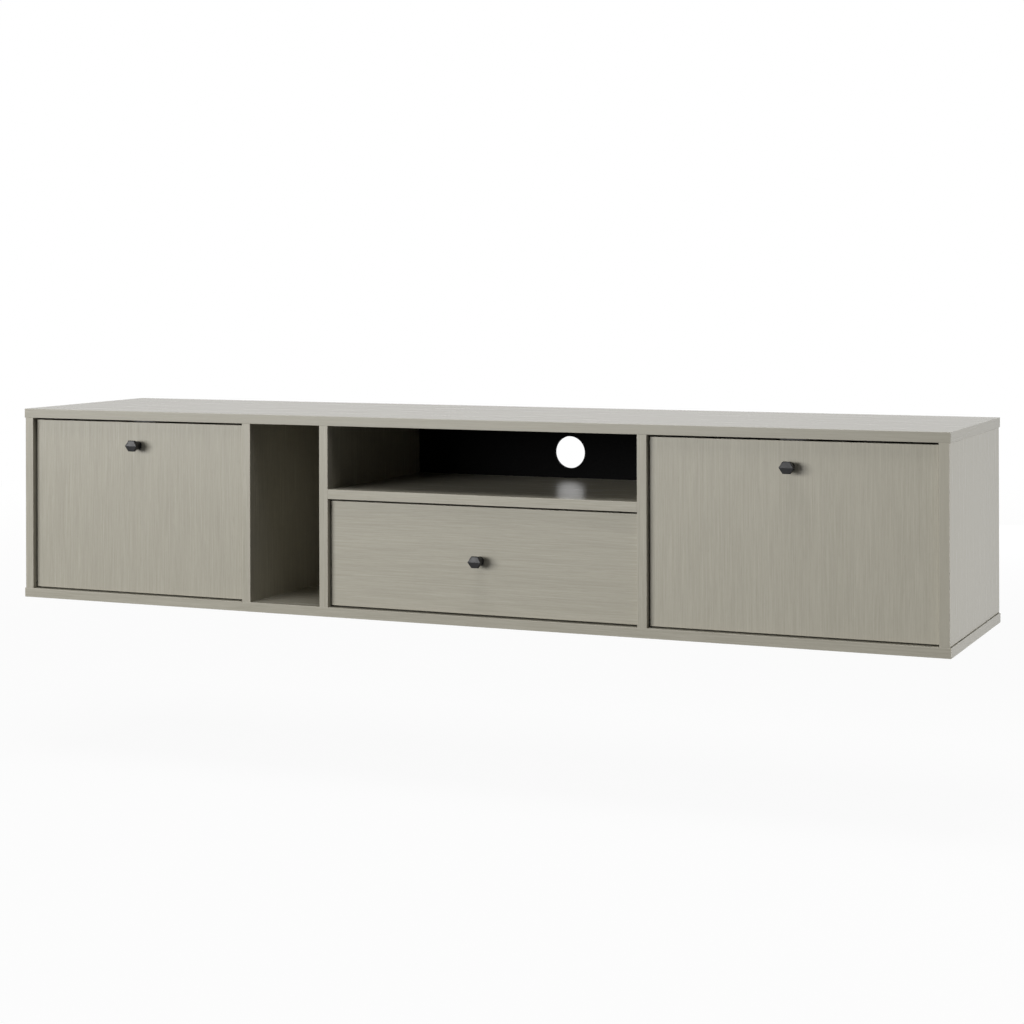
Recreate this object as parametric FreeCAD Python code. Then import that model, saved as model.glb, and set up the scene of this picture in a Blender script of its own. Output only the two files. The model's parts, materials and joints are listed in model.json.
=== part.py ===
import FreeCAD, Part
import os
from math import atan2, cos, degrees, hypot, radians, sin

# Wall-hung media console, in millimetres.
# X runs to the right, Y towards the wall and Z up. The origin is on the wall plane,
# at the middle of the console's lower rear edge, so the front lies at Y = -depth.

# ---- carcass ----
width = 1764.0
depth = 400.0
height = 357.0
board_t = 17.0  # 16 mm board with a veneer on both faces
end_overhang = 2.0  # top and bottom boards past the side panels
joint_ease = 1.0  # taken off the side panels' outer end edges, along the joints
left_bay = 457.0
niche_bay = 142.0
centre_bay = 586.0
shelf_top = 227.0
edge_r = 0.6  # easing of the boards' visible edges

# ---- back panel and the space behind it ----
back_t = 6.0
wall_gap = 22.0  # behind the back panel, for cables and the hanging rails
groove_depth = 7.0
groove_play = 0.5
cable_hole_r = 30.0
cable_hole_offset = 21.6  # to the right of the centre bay's middle
cable_hole_rise = 48.0  # above the shelf

# ---- carcass fastenings ----
dowel_r = 4.0
dowel_in_cap = 12.0
dowel_in_board = 18.0
cam_r = 7.5
cam_depth = 12.5
cam_set = 24.0  # cam centre from the joint
bolt_r = 3.0
bolt_neck_r = 2.0
bolt_in_cap = 11.0
bolt_play = 0.5
cam_slot_len = 9.0
cam_slot_w = 2.0
cam_slot_depth = 2.0
front_fixing = 50.0  # first fixing from the front edge
rear_fixing = 70.0  # last fixing from the wall
dowel_step = 32.0  # dowel from its cam
back_screw_r = 2.0
back_screw_head_r = 4.0
back_screw_len = 22.0
back_screw_pitch = 130.0

# ---- hanging rails ----
batten_t = 16.0
batten_h = 33.0
rail_t = 2.0
rail_len = 600.0
rail_from_end = 90.0  # rail end from the end of the console
rail_play = 0.2
rail_lip = 14.0
rail_flange = 18.0
rail_hook_drop = 20.0  # top inner corner of the carcass down to the hook's seat
wall_hole_r = 2.75
outer_hole_pitch = 520.0
inner_hole_pitch = 176.0
rail_screw_r = 1.75
rail_screw_head_r = 3.5
rail_screw_len = 14.0

# ---- fronts ----
front_t = 17.0
front_recess = 10.0
side_gap = 2.0
flap_top_gap = 4.0
flap_bottom_gap = 2.5
drawer_top_gap = 4.0
drawer_bottom_gap = 3.0
front_edge_r = 0.8

# ---- knobs ----
knob_w = 25.5  # across the corners of the hexagonal head
knob_h = 20.0  # across its upper and lower flats
knob_head_t = 7.5
knob_ridge = 1.6  # the ridge stands this far above the head's upper and lower flats
knob_rim = 1.0
knob_stem_r = 7.9
knob_reach = 25.0
knob_from_top = 42.5  # flap knobs, from the flap's upper edge
knob_screw_r = 2.0
knob_screw_grip = 10.0
knob_screw_head_r = 4.2
knob_screw_head_t = 2.6
knob_screw_slot_w = 1.0

# ---- flap pivots ----
open_angle = 90.0
pivot_back = 5.0  # behind the flap's front face
pivot_up = 6.0  # above the flap's lower edge
pin_r = 2.0
pin_in_flap = 14.0
pin_in_bush = 8.0
pin_play = 0.05
bush_r = 4.0
bush_depth = 10.0
bush_flange_r = 5.5
bush_flange_t = 0.8

# ---- flap stays ----
stay_inset = 14.0  # rod's plane from the side panel
stay_off = 9.0  # rod's pivot from the flap's inner face
stay_rise = 180.0  # rod's pivot above the flap's pivot
brake_angle = 45.0  # brake's pivot, above the level line behind the flap's pivot
rod_r = 3.5
rod_play = 0.3
eye_r = 6.0
eye_t = 8.0
stay_pin_r = 2.0
stay_pin_head_r = 3.5
stay_pin_head_t = 1.5
ear_t = 2.0
ear_play = 0.5
bracket_t = 1.5
bracket_h = 36.0
bracket_lap = 2.0  # the plate's near edge from the rod's plane, towards the side panel
bracket_wing = 16.0  # the plate past the ear's near face
bracket_screw_set = 14.0  # screws from the rod's plane
bracket_screw_pitch = 22.0
brake_r = 13.0
brake_t = 17.0
brake_rim = 1.0
brake_post_r = 5.0
brake_post_play = 0.06
brake_post_wall = 1.2  # between the post's socket and the rod's bore
brake_post_end_play = 0.3
brake_stand_off = 4.0  # brake's near face from the side panel
brake_shoulder_r = 7.0
brake_shoulder_play = 0.3
mount_t = 2.0
mount_w = 24.0
mount_h = 52.0
mount_corner_r = 4.0
mount_screw_pitch = 40.0
collar_r = 6.0
collar_t = 6.0
stop_play = 0.5
stay_screw_r = 1.75
stay_screw_head_r = 3.2
stay_screw_len = 12.0

# ---- magnetic catches ----
catch_w = 46.0
catch_d = 14.0
catch_h = 13.0
magnet_w = 30.0
magnet_proud = 1.0
magnet_cover = 4.0  # housing above and behind the magnet
magnet_floor = 2.0  # housing below the magnet
strike_w = 36.0
strike_h = 14.0
strike_t = 1.2
strike_drop = 1.0  # below the flap's upper edge
catch_play = 0.3

# ---- drawer ----
drawer_board_t = 12.0
drawer_box_depth = 330.0
drawer_box_h = 120.0
drawer_box_rise = 14.0  # above the lower edge of the drawer's front
drawer_bottom_t = 5.0
drawer_bottom_rise = 10.0
drawer_groove = 6.0
front_screw_r = 2.0
front_screw_head_r = 4.0
front_screw_in_front = 11.0
front_screw_inset = 60.0
front_screw_rise = 30.0
front_screw_pitch = 60.0
box_dowel_r = 2.0
box_dowel_cover = 4.8  # board left outside each dowel
box_dowel_rise = 36.0
box_dowel_pitch = 60.0

# ---- runners ----
runner_len = 300.0
runner_w = 12.7
runner_h = 45.0
runner_rise = 38.0  # runner's lower edge above the bottom of the drawer's box
steel_t = 1.2
ball_r = 1.6
ball_play = 0.3
cage_t = 0.6
cage_len = 140.0
cage_end_gap = 8.8  # cage's rear end from the runner's, with the drawer shut
cage_play = 0.4
cage_lip_t = 1.0
balls_per_row = 6
runner_screw_r = 1.75
runner_screw_head_r = 3.3
runner_screw_len = 10.0
runner_screw_inset = 40.0

V = FreeCAD.Vector

# ---- places that follow from the sizes ----
front_y = -depth
back_face_y = -wall_gap - back_t
lid_z = height - board_t
right_bay = width - 2 * end_overhang - 5 * board_t - left_bay - niche_bay - centre_bay
left_side_x = -width / 2 + end_overhang
left_bay_x = left_side_x + board_t
left_divider_x = left_bay_x + left_bay
niche_x = left_divider_x + board_t
niche_divider_x = niche_x + niche_bay
centre_x = niche_divider_x + board_t
right_divider_x = centre_x + centre_bay
right_bay_x = right_divider_x + board_t
right_side_x = right_bay_x + right_bay
shelf_z = shelf_top - board_t
face_y = front_y + front_recess
flap_z = board_t + flap_bottom_gap
flap_h = lid_z - flap_top_gap - flap_z
drawer_z = board_t + drawer_bottom_gap
drawer_h = shelf_z - drawer_top_gap - drawer_z
pivot_y = face_y + pivot_back
pivot_z = flap_z + pivot_up
hole_x = centre_x + centre_bay / 2 + cable_hole_offset
hole_z = shelf_top + cable_hole_rise


def block(x, y, z):
    """A box between the (low, high) pairs x, y and z."""
    return Part.makeBox(x[1] - x[0], y[1] - y[0], z[1] - z[0], V(x[0], y[0], z[0]))


def bar(radius, start, end):
    """A round bar from one point to another."""
    start, end = V(*start), V(*end)
    return Part.makeCylinder(radius, (end - start).Length, start, end - start)


def cone(radius, end_radius, start, end):
    """A tapered bar from one point to another."""
    start, end = V(*start), V(*end)
    return Part.makeCone(radius, end_radius, (end - start).Length, start, end - start)


def from_face(face, side, near, far):
    """The (low, high) pair between two distances from a face, to its right (1) or left (-1)."""
    return tuple(sorted((face + side * near, face + side * far)))


def fused(first, *others):
    """One solid of several that touch."""
    return first.fuse(list(others)).removeSplitter()


def eased(shape, radius, along, keep):
    """A board whose edges that run along an axis, and that keep() accepts, are rounded."""
    chosen = []
    for edge in shape.Edges:
        run = edge.Vertexes[1].Point - edge.Vertexes[0].Point
        if abs(abs(run.dot(along)) - run.Length) < 1e-6 and keep(edge.CenterOfMass):
            chosen.append(edge)
    return shape.makeFillet(radius, chosen)


X_AXIS, Y_AXIS, Z_AXIS = V(1, 0, 0), V(0, 1, 0), V(0, 0, 1)


def screw(head_at, tip, radius, head_r):
    """A countersunk screw from the middle of its flat head to its tip."""
    head_at, tip = V(*head_at), V(*tip)
    way = (tip - head_at).normalize()
    neck = head_at + way * (head_r - radius)
    return fused(cone(head_r, radius, head_at, neck), bar(radius, neck, tip))


# ---------------------------------------------------------------- carcass

UPRIGHTS = {
    # name: left face, rear edge, side of the cams (0 where only dowels hold it)
    "left_side_panel": (left_side_x, 0.0, 1),
    "left_divider": (left_divider_x, back_face_y, -1),
    "niche_divider": (niche_divider_x, back_face_y, 0),
    "right_divider": (right_divider_x, back_face_y, 1),
    "right_side_panel": (right_side_x, 0.0, -1),
}


# joint planes between the uprights and the cap boards: height, way into the cap board
CAP_JOINTS = ((board_t, -1), (lid_z, 1))


def fixing_places():
    """The distances of cams and dowels along the depth."""
    first, last = front_y + front_fixing, -rear_fixing
    return (first, last), (first + dowel_step, last - dowel_step)


def upright_dowels(x):
    """The dowels at both ends of one upright."""
    middle = x + board_t / 2
    dowels = []
    for z, out in CAP_JOINTS:
        for y in fixing_places()[1]:
            inner, outer = z - out * dowel_in_board, z + out * dowel_in_cap
            dowels.append(bar(dowel_r, (middle, y, inner), (middle, y, outer)))
    return dowels


def cam_joint(x, side, y, z, out):
    """One cam, its bolt, and the holes for them in the upright."""
    middle = x + board_t / 2
    face = x + (board_t if side > 0 else 0)
    centre_z = z - out * cam_set
    floor = face - side * cam_depth
    pocket = bar(cam_r, (face, y, centre_z), (floor, y, centre_z))
    head_z = centre_z - out * bolt_r
    neck_z = centre_z + out * bolt_neck_r
    shank_z = centre_z + out * (cam_r - bolt_play)
    shank = bar(bolt_r, (middle, y, z + out * bolt_in_cap), (middle, y, shank_z))
    neck = bar(bolt_neck_r, (middle, y, shank_z), (middle, y, neck_z))
    head = bar(bolt_r, (middle, y, neck_z), (middle, y, head_z))
    bore = bar(bolt_r + bolt_play, (middle, y, z), (middle, y, head_z - out * bolt_play))
    slot = block(
        from_face(face, -side, 0, cam_slot_depth),
        (y - cam_slot_w / 2, y + cam_slot_w / 2),
        (centre_z - cam_slot_len / 2, centre_z + cam_slot_len / 2),
    )
    return pocket.cut([bore, slot]), fused(shank, neck, head), [pocket, bore]


def upright(name):
    """One standing board with its cam pockets, holes and groove."""
    x, rear, side = UPRIGHTS[name]
    board = block((x, x + board_t), (front_y, rear), (board_t, lid_z))
    board = eased(board, edge_r, Z_AXIS, lambda c: c.y < front_y + board_t)
    cutters = upright_dowels(x)
    if side:
        for z, out in CAP_JOINTS:
            for y in fixing_places()[0]:
                cutters += cam_joint(x, side, y, z, out)[2]
    if rear == 0.0:
        cutters.append(back_groove())
        cutters += batten_dowels() + joint_eases(x, side)
    if name in ("niche_divider", "right_divider"):
        cutters += shelf_dowels()
    if rear < 0.0:
        cutters += back_screws()
    for flap in FLAPS.values():
        cutters += flap.bushes(bored=False) + flap.mount_screws()
    for face, way in RUNNERS.values():
        cutters += runner_screws(face, way, 0)
    return board.cut(cutters)


def joint_eases(x, side):
    """The wedges taken off a side panel's outer end edges, where it meets the cap boards."""
    outer = x + (0 if side > 0 else board_t)
    wedges = []
    for z, out in CAP_JOINTS:
        inner_end = V(outer + side * 2 * joint_ease, front_y - joint_ease, z + out * joint_ease)
        outer_end = V(outer - side * joint_ease, front_y - joint_ease, z + out * joint_ease)
        foot = V(outer - side * joint_ease, front_y - joint_ease, z - out * 2 * joint_ease)
        slope = Part.Face(Part.makePolygon([inner_end, outer_end, foot, inner_end]))
        wedges.append(slope.extrude(V(0, depth + 2 * joint_ease, 0)))
    return wedges


def back_groove():
    """The space that the grooves leave for the back panel."""
    return block(
        (left_bay_x - groove_depth, right_side_x + groove_depth),
        (back_face_y, -wall_gap),
        (board_t - groove_depth, lid_z + groove_depth),
    )


def cap_board(z):
    """The top or bottom board, from its lower face."""
    board = block((-width / 2, width / 2), (front_y, 0), (z, z + board_t))
    board = eased(board, edge_r, X_AXIS, lambda c: c.y < front_y + board_t)
    cutters = [back_groove()]
    for x, rear, side in UPRIGHTS.values():
        cutters += upright_dowels(x)
        if side:
            for joint_z, out in CAP_JOINTS:
                for y in fixing_places()[0]:
                    cutters.append(cam_joint(x, side, y, joint_z, out)[1])
    return board.cut(cutters)


def shelf_dowels():
    """The dowels at both ends of the centre shelf."""
    z = shelf_z + board_t / 2
    dowels = []
    for face, out in ((centre_x, -1), (right_divider_x, 1)):
        for y in fixing_places()[1]:
            inner, outer = face - out * dowel_in_board, face + out * dowel_in_cap
            dowels.append(bar(dowel_r, (inner, y, z), (outer, y, z)))
    return dowels


def centre_shelf():
    """The board between the open shelf niche and the drawer."""
    board = block((centre_x, right_divider_x), (front_y, back_face_y), (shelf_z, shelf_top))
    board = eased(board, edge_r, X_AXIS, lambda c: c.y < front_y + board_t)
    return board.cut(shelf_dowels())


def back_panel():
    """The back panel, held in grooves all round, with the cable hole."""
    slack = groove_depth - groove_play
    panel = block(
        (left_bay_x - slack, right_side_x + slack),
        (back_face_y, -wall_gap),
        (board_t - slack, lid_z + slack),
    )
    hole = bar(cable_hole_r, (hole_x, back_face_y - 1, hole_z), (hole_x, 0, hole_z))
    return panel.cut([hole] + back_screws())


def back_screws():
    """The screws through the back panel into the dividers."""
    middle_z = height / 2
    screws = []
    for name, (x, rear, side) in UPRIGHTS.items():
        if rear < 0.0:
            for step in (-1, 1):
                middle, z = x + board_t / 2, middle_z + step * back_screw_pitch / 2
                head, tip = (middle, -wall_gap, z), (middle, -wall_gap - back_screw_len, z)
                screws.append(screw(head, tip, back_screw_r, back_screw_head_r))
    return screws


# ---------------------------------------------------------------- hanging rails

batten_front_y = -wall_gap
batten_rear_y = -wall_gap + batten_t
hook_z = lid_z - rail_hook_drop


def batten_dowels():
    """The dowels at both ends of the hanging batten."""
    y = (batten_front_y + batten_rear_y) / 2
    z = lid_z - batten_h / 2
    dowels = []
    for face, out in ((left_bay_x, -1), (right_side_x, 1)):
        inner, outer = face - out * dowel_in_board, face + out * dowel_in_cap
        dowels.append(bar(dowel_r, (inner, y, z), (outer, y, z)))
    return dowels


def rail_spans():
    """The (low, high) pairs of the two rails along the width."""
    low = -width / 2 + rail_from_end
    return (low, low + rail_len), (-low - rail_len, -low)


def rail_places(span):
    """The places along one rail of its four holes, in pairs about its middle."""
    middle = sum(span) / 2
    return [middle + s * p / 2 for p in (outer_hole_pitch, inner_hole_pitch) for s in (-1, 1)]


rail_screw_z = hook_z + rail_t + (lid_z - hook_z - rail_t) / 2


def rail_screws():
    """The screws that hold the carcass rails on the batten."""
    screws = []
    head_y = batten_rear_y + rail_t
    for span in rail_spans():
        for x in rail_places(span):
            head, tip = (x, head_y, rail_screw_z), (x, head_y - rail_screw_len, rail_screw_z)
            screws.append(screw(head, tip, rail_screw_r, rail_screw_head_r))
    return screws


def carcass_rail(span):
    """The hooked rail on the batten: a flange, a ledge and a lip that points down."""
    flange = block(span, (batten_rear_y, batten_rear_y + rail_t), (hook_z, lid_z - rail_play))
    ledge = block(span, (batten_rear_y, -rail_play), (hook_z, hook_z + rail_t))
    lip = block(span, (-rail_play - rail_t, -rail_play), (hook_z - rail_lip, hook_z + rail_t))
    return fused(flange, ledge, lip).cut(rail_screws())


def wall_rail(span):
    """The rail on the wall: a flange on the wall, a step and a lip that points up."""
    lip_y = -2 * (rail_play + rail_t)
    step_z = hook_z - rail_lip - rail_t - rail_play
    flange = block(span, (-rail_t, 0), (step_z - rail_flange, step_z))
    step = block(span, (lip_y, 0), (step_z - rail_t, step_z))
    lip = block(span, (lip_y, lip_y + rail_t), (step_z - rail_t, hook_z))
    hole_at = step_z - rail_t - rail_flange / 2
    holes = [bar(wall_hole_r, (x, -2 * rail_t, hole_at), (x, rail_t, hole_at)) for x in rail_places(span)]
    return fused(flange, step, lip).cut(holes)


def hanging_batten():
    """The wooden batten that carries the hooked rails."""
    batten = block(
        (left_bay_x, right_side_x),
        (batten_front_y, batten_rear_y),
        (lid_z - batten_h, lid_z),
    )
    return batten.cut(batten_dowels() + rail_screws())


# ---------------------------------------------------------------- knobs and fronts


def knob(x, z):
    """A hexagonal knob with a ridge across its face, on a round stem."""
    across, up = knob_w / 2, knob_h / 2
    corners = ((1, 0), (0.5, 1), (-0.5, 1), (-1, 0), (-0.5, -1), (0.5, -1))
    points = [V(x + across * right, 0, z + up * rise) for right, rise in corners]
    outline = Part.Face(Part.makePolygon(points + points[:1]))
    tip_y = face_y - knob_reach
    head = outline.extrude(V(0, knob_head_t, 0))
    head.translate(V(0, tip_y, 0))
    for way in (-1, 1):
        edge_z = z + way * knob_h
        wedge = [
            V(x - knob_w, tip_y, z),
            V(x - knob_w, tip_y - knob_head_t, z),
            V(x - knob_w, tip_y - knob_head_t, edge_z),
            V(x - knob_w, tip_y + 2 * knob_ridge, edge_z),
        ]
        slope = Part.Face(Part.makePolygon(wedge + wedge[:1]))
        head = head.cut(slope.extrude(V(2 * knob_w, 0, 0)))
    front_rim = [e for e in head.Edges if on_knob_rim(e, x, z, tip_y)]
    head = head.makeChamfer(knob_rim, front_rim)
    stem = bar(knob_stem_r, (x, tip_y + knob_head_t, z), (x, face_y, z))
    thread = bar(knob_screw_r, (x, face_y, z), (x, face_y - knob_screw_grip, z))
    return fused(head, stem).cut(thread)


def on_knob_rim(edge, x, z, tip_y):
    """Whether an edge lies on the outline of the knob's front."""
    middle = edge.CenterOfMass
    near_front = middle.y < tip_y + knob_head_t / 2
    level = max(abs(v.Point.y - middle.y) for v in edge.Vertexes) < knob_ridge
    return near_front and level and hypot(middle.x - x, middle.z - z) > knob_h / 4


def knob_screw(x, z, back_y):
    """The machine screw that holds a knob, with its head behind the front."""
    shank = bar(knob_screw_r, (x, face_y - knob_screw_grip, z), (x, back_y, z))
    head = bar(knob_screw_head_r, (x, back_y, z), (x, back_y + knob_screw_head_t, z))
    head = head.makeFillet(knob_screw_head_t / 3, [head.Edges[0]])
    slot = block(
        (x - knob_screw_head_r, x + knob_screw_head_r),
        (back_y + knob_screw_head_t / 2, back_y + 2 * knob_screw_head_t),
        (z - knob_screw_slot_w / 2, z + knob_screw_slot_w / 2),
    )
    return fused(shank, head.cut(slot))


def front_board(x, z):
    """A front between the (low, high) pairs x and z, eased along its edges."""
    board = block(x, (face_y, face_y + front_t), z)
    board = eased(board, front_edge_r, X_AXIS, lambda c: True)
    return eased(board, front_edge_r, Z_AXIS, lambda c: c.y < face_y + front_t / 2)


class Flap:
    """A drop-down flap, its pivots, its knob, its stay and its catch."""

    def __init__(self, bay_x, bay_w, stay_side):
        """A flap for the bay that starts at bay_x, with its stay at the bay's left (1) or right (-1)."""
        self.x = (bay_x + side_gap, bay_x + bay_w - side_gap)
        self.bay = (bay_x, bay_x + bay_w)
        self.middle = bay_x + bay_w / 2
        self.inward = stay_side
        self.panel_face = bay_x if stay_side > 0 else bay_x + bay_w
        self.knob_z = flap_z + flap_h - knob_from_top
        self.inner_y = face_y + front_t

    def across(self, near, far):
        """The (low, high) pair between two distances from the stay's side panel."""
        return from_face(self.panel_face, self.inward, near, far)

    def off_panel(self, distance):
        """The place along X at a distance from the stay's side panel."""
        return self.panel_face + self.inward * distance

    def pivot_pins(self):
        """The steel pins in the flap's two ends."""
        pins = []
        for edge, face, out in ((self.x[0], self.bay[0], -1), (self.x[1], self.bay[1], 1)):
            inner = (edge - out * pin_in_flap, pivot_y, pivot_z)
            outer = (face + out * pin_in_bush, pivot_y, pivot_z)
            pins.append(bar(pin_r, inner, outer))
        return pins

    def bushes(self, bored=True):
        """The flanged bushes that the pins turn in, or plain bars of their size."""
        bushes = []
        for face, out in ((self.bay[0], -1), (self.bay[1], 1)):
            body = bar(bush_r, (face + out * bush_depth, pivot_y, pivot_z), (face, pivot_y, pivot_z))
            lip = (face - out * bush_flange_t, pivot_y, pivot_z)
            flange = bar(bush_flange_r, (face, pivot_y, pivot_z), lip)
            end = (face + out * (pin_in_bush + 2 * pin_play), pivot_y, pivot_z)
            bushes.append(fused(body, flange).cut(bar(pin_r + pin_play, lip, end)) if bored else body)
        return bushes

    def panel(self):
        """The flap's board with its holes."""
        board = front_board(self.x, (flap_z, flap_z + flap_h))
        cutters = self.pivot_pins() + [knob_screw(self.middle, self.knob_z, self.inner_y)]
        return board.cut(cutters + self.bracket_screws())

    def knob(self):
        """The flap's knob."""
        return knob(self.middle, self.knob_z)

    def knob_screw(self):
        """The screw of the flap's knob."""
        return knob_screw(self.middle, self.knob_z, self.inner_y)

    # The stay's rod pivots on the flap and slides through a brake that swivels on the side
    # panel. Both pivots lie at one distance from the flap's pivot, so the rod turns by half
    # the flap's angle and its line always passes through the brake's pivot.

    def rod_pivot(self):
        """The (y, z) place of the rod's pivot on the shut flap."""
        return pivot_y + front_t - pivot_back + stay_off, pivot_z + stay_rise

    def reach(self):
        """The distance from the flap's pivot to the rod's."""
        y, z = self.rod_pivot()
        return hypot(y - pivot_y, z - pivot_z)

    def brake_pivot(self):
        """The (y, z) place of the brake's pivot."""
        up = radians(brake_angle)
        return pivot_y + self.reach() * cos(up), pivot_z + self.reach() * sin(up)

    def along_rod(self, distance):
        """The (y, z) place at a distance from the rod's pivot along the rod."""
        y, z = self.rod_pivot()
        brake_y, brake_z = self.brake_pivot()
        closed = hypot(brake_y - y, brake_z - z)
        return y + (brake_y - y) * distance / closed, z + (brake_z - z) * distance / closed

    def rod_length(self):
        """The rod from its pivot to its end, so that its collar stops the open flap at the brake."""
        y, z = self.rod_pivot()
        apart = degrees(atan2(z - pivot_z, y - pivot_y)) - brake_angle
        opened = 2 * self.reach() * sin(radians(apart + open_angle) / 2)
        return opened + brake_r + stop_play + collar_t

    def rod(self):
        """The stay's rod with its eye and its end collar."""
        x = self.off_panel(stay_inset)
        y, z = self.rod_pivot()
        eye = bar(eye_r, (x - eye_t / 2, y, z), (x + eye_t / 2, y, z))
        length = self.rod_length()
        shaft = bar(rod_r, (x, y, z), (x, *self.along_rod(length)))
        collar_at = (x, *self.along_rod(length - collar_t))
        collar = bar(collar_r, collar_at, (x, *self.along_rod(length)))
        hole = bar(stay_pin_r + pin_play, (x - eye_r, y, z), (x + eye_r, y, z))
        return fused(eye, shaft, collar).cut(hole)

    def bracket(self):
        """The flap's bracket: a plate, an ear and a riveted pin with its head."""
        y, z = self.rod_pivot()
        ear_from = stay_inset + eye_t / 2 + ear_play
        ear_x = self.across(ear_from, ear_from + ear_t)
        plate = block(
            self.across(stay_inset - bracket_lap, ear_from + bracket_wing),
            (self.inner_y, self.inner_y + bracket_t),
            (z - bracket_h / 2, z + bracket_h / 2),
        )
        ear = block(ear_x, (self.inner_y, y), (z - eye_r, z + eye_r))
        tip = bar(eye_r, (ear_x[0], y, z), (ear_x[1], y, z))
        head_to = stay_inset - eye_t / 2 - ear_play
        head_x = self.across(head_to - stay_pin_head_t, head_to)
        pin_x = self.across(head_to - stay_pin_head_t, ear_from + ear_t)
        pin = bar(stay_pin_r, (pin_x[0], y, z), (pin_x[1], y, z))
        head = bar(stay_pin_head_r, (head_x[0], y, z), (head_x[1], y, z))
        return fused(plate, ear, tip, pin, head).cut(self.bracket_screws())

    def bracket_screws(self):
        """The two screws of the flap's bracket."""
        x = self.off_panel(stay_inset + bracket_screw_set)
        head_y = self.inner_y + bracket_t
        screws = []
        for step in (-1, 1):
            z = self.rod_pivot()[1] + step * bracket_screw_pitch / 2
            head, tip = (x, head_y, z), (x, head_y - stay_screw_len, z)
            screws.append(screw(head, tip, stay_screw_r, stay_screw_head_r))
        return screws

    def brake(self):
        """The brake's round housing, bored for the rod and for its post."""
        y, z = self.brake_pivot()
        low, high = self.across(brake_stand_off, brake_stand_off + brake_t)
        body = bar(brake_r, (low, y, z), (high, y, z))
        body = body.makeChamfer(brake_rim, body.Edges[:1] + body.Edges[2:])
        x = self.off_panel(stay_inset)
        pivots_apart = hypot(*(a - b for a, b in zip(self.brake_pivot(), self.rod_pivot())))
        bore = bar(
            rod_r + rod_play,
            (x, *self.along_rod(pivots_apart - 2 * brake_r)),
            (x, *self.along_rod(pivots_apart + 2 * brake_r)),
        )
        low, high = self.across(0, stay_inset - rod_r - rod_play - brake_post_wall)
        socket = bar(brake_post_r + brake_post_play, (low, y, z), (high, y, z))
        return body.cut([bore, socket])

    def brake_mount(self):
        """The plate on the side panel with the post that the brake swivels on."""
        y, z = self.brake_pivot()
        plate = block(
            self.across(0, mount_t),
            (y - mount_w / 2, y + mount_w / 2),
            (z - mount_h / 2, z + mount_h / 2),
        )
        plate = eased(plate, mount_corner_r, X_AXIS, lambda c: True)
        socket_end = stay_inset - rod_r - rod_play - brake_post_wall
        low, high = self.across(0, socket_end - brake_post_end_play)
        post = bar(brake_post_r, (low, y, z), (high, y, z))
        low, high = self.across(0, brake_stand_off - brake_shoulder_play)
        shoulder = bar(brake_shoulder_r, (low, y, z), (high, y, z))
        return fused(plate, post, shoulder).cut(self.mount_screws())

    def mount_screws(self):
        """The two screws of the brake's plate."""
        y, middle_z = self.brake_pivot()
        screws = []
        for step in (-1, 1):
            z = middle_z + step * mount_screw_pitch / 2
            head, tip = (self.off_panel(mount_t), y, z), (self.off_panel(mount_t - stay_screw_len), y, z)
            screws.append(screw(head, tip, stay_screw_r, stay_screw_head_r))
        return screws

    def strike(self):
        """The steel plate on the flap that the magnet holds."""
        top = lid_z - flap_top_gap - strike_drop
        return block(
            (self.middle - strike_w / 2, self.middle + strike_w / 2),
            (self.inner_y, self.inner_y + strike_t),
            (top - strike_h, top),
        )

    def catch(self):
        """The catch under the lid: a housing and the magnet in its mouth."""
        near_y = self.inner_y + strike_t + catch_play
        housing = block(
            (self.middle - catch_w / 2, self.middle + catch_w / 2),
            (near_y + magnet_proud, near_y + catch_d),
            (lid_z - catch_h, lid_z),
        )
        magnet = block(
            (self.middle - magnet_w / 2, self.middle + magnet_w / 2),
            (near_y, near_y + catch_d - magnet_cover),
            (lid_z - catch_h + magnet_floor, lid_z - magnet_cover),
        )
        return [housing.cut(magnet), magnet]


FLAPS = {
    "left": Flap(left_bay_x, left_bay, 1),
    "right": Flap(right_bay_x, right_bay, -1),
}

# ---------------------------------------------------------------- drawer

box_x = (centre_x + runner_w, right_divider_x - runner_w)
box_z = drawer_z + drawer_box_rise
box_front_y = face_y + front_t
box_rear_y = box_front_y + drawer_box_depth
runner_mid_z = box_z + runner_rise + runner_h / 2
knob_x = centre_x + centre_bay / 2
knob_z = drawer_z + drawer_h / 2


def drawer_front():
    """The drawer's visible front."""
    board = front_board(
        (centre_x + side_gap, right_divider_x - side_gap), (drawer_z, drawer_z + drawer_h)
    )
    screw_hole = knob_screw(knob_x, knob_z, box_front_y + drawer_board_t)
    return board.cut([screw_hole] + front_screws())


def front_screws():
    """The screws that hold the visible front on the drawer's box."""
    back_y = box_front_y + drawer_board_t
    screws = []
    for x in (box_x[0] + front_screw_inset, box_x[1] - front_screw_inset):
        for z in (box_z + front_screw_rise, box_z + front_screw_rise + front_screw_pitch):
            tip = (x, box_front_y - front_screw_in_front, z)
            screws.append(screw((x, back_y, z), tip, front_screw_r, front_screw_head_r))
    return screws


def drawer_base():
    """The drawer's bottom, held in grooves all round."""
    inner = drawer_board_t - drawer_groove
    return block(
        (box_x[0] + inner, box_x[1] - inner),
        (box_front_y + inner, box_rear_y - inner),
        (box_z + drawer_bottom_rise, box_z + drawer_bottom_rise + drawer_bottom_t),
    )


def box_cross_board(y, cutters):
    """The front or rear board of the drawer's box, between its sides."""
    board = block(
        (box_x[0] + drawer_board_t, box_x[1] - drawer_board_t),
        (y, y + drawer_board_t),
        (box_z, box_z + drawer_box_h),
    )
    return board.cut([drawer_base()] + cutters)


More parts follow.
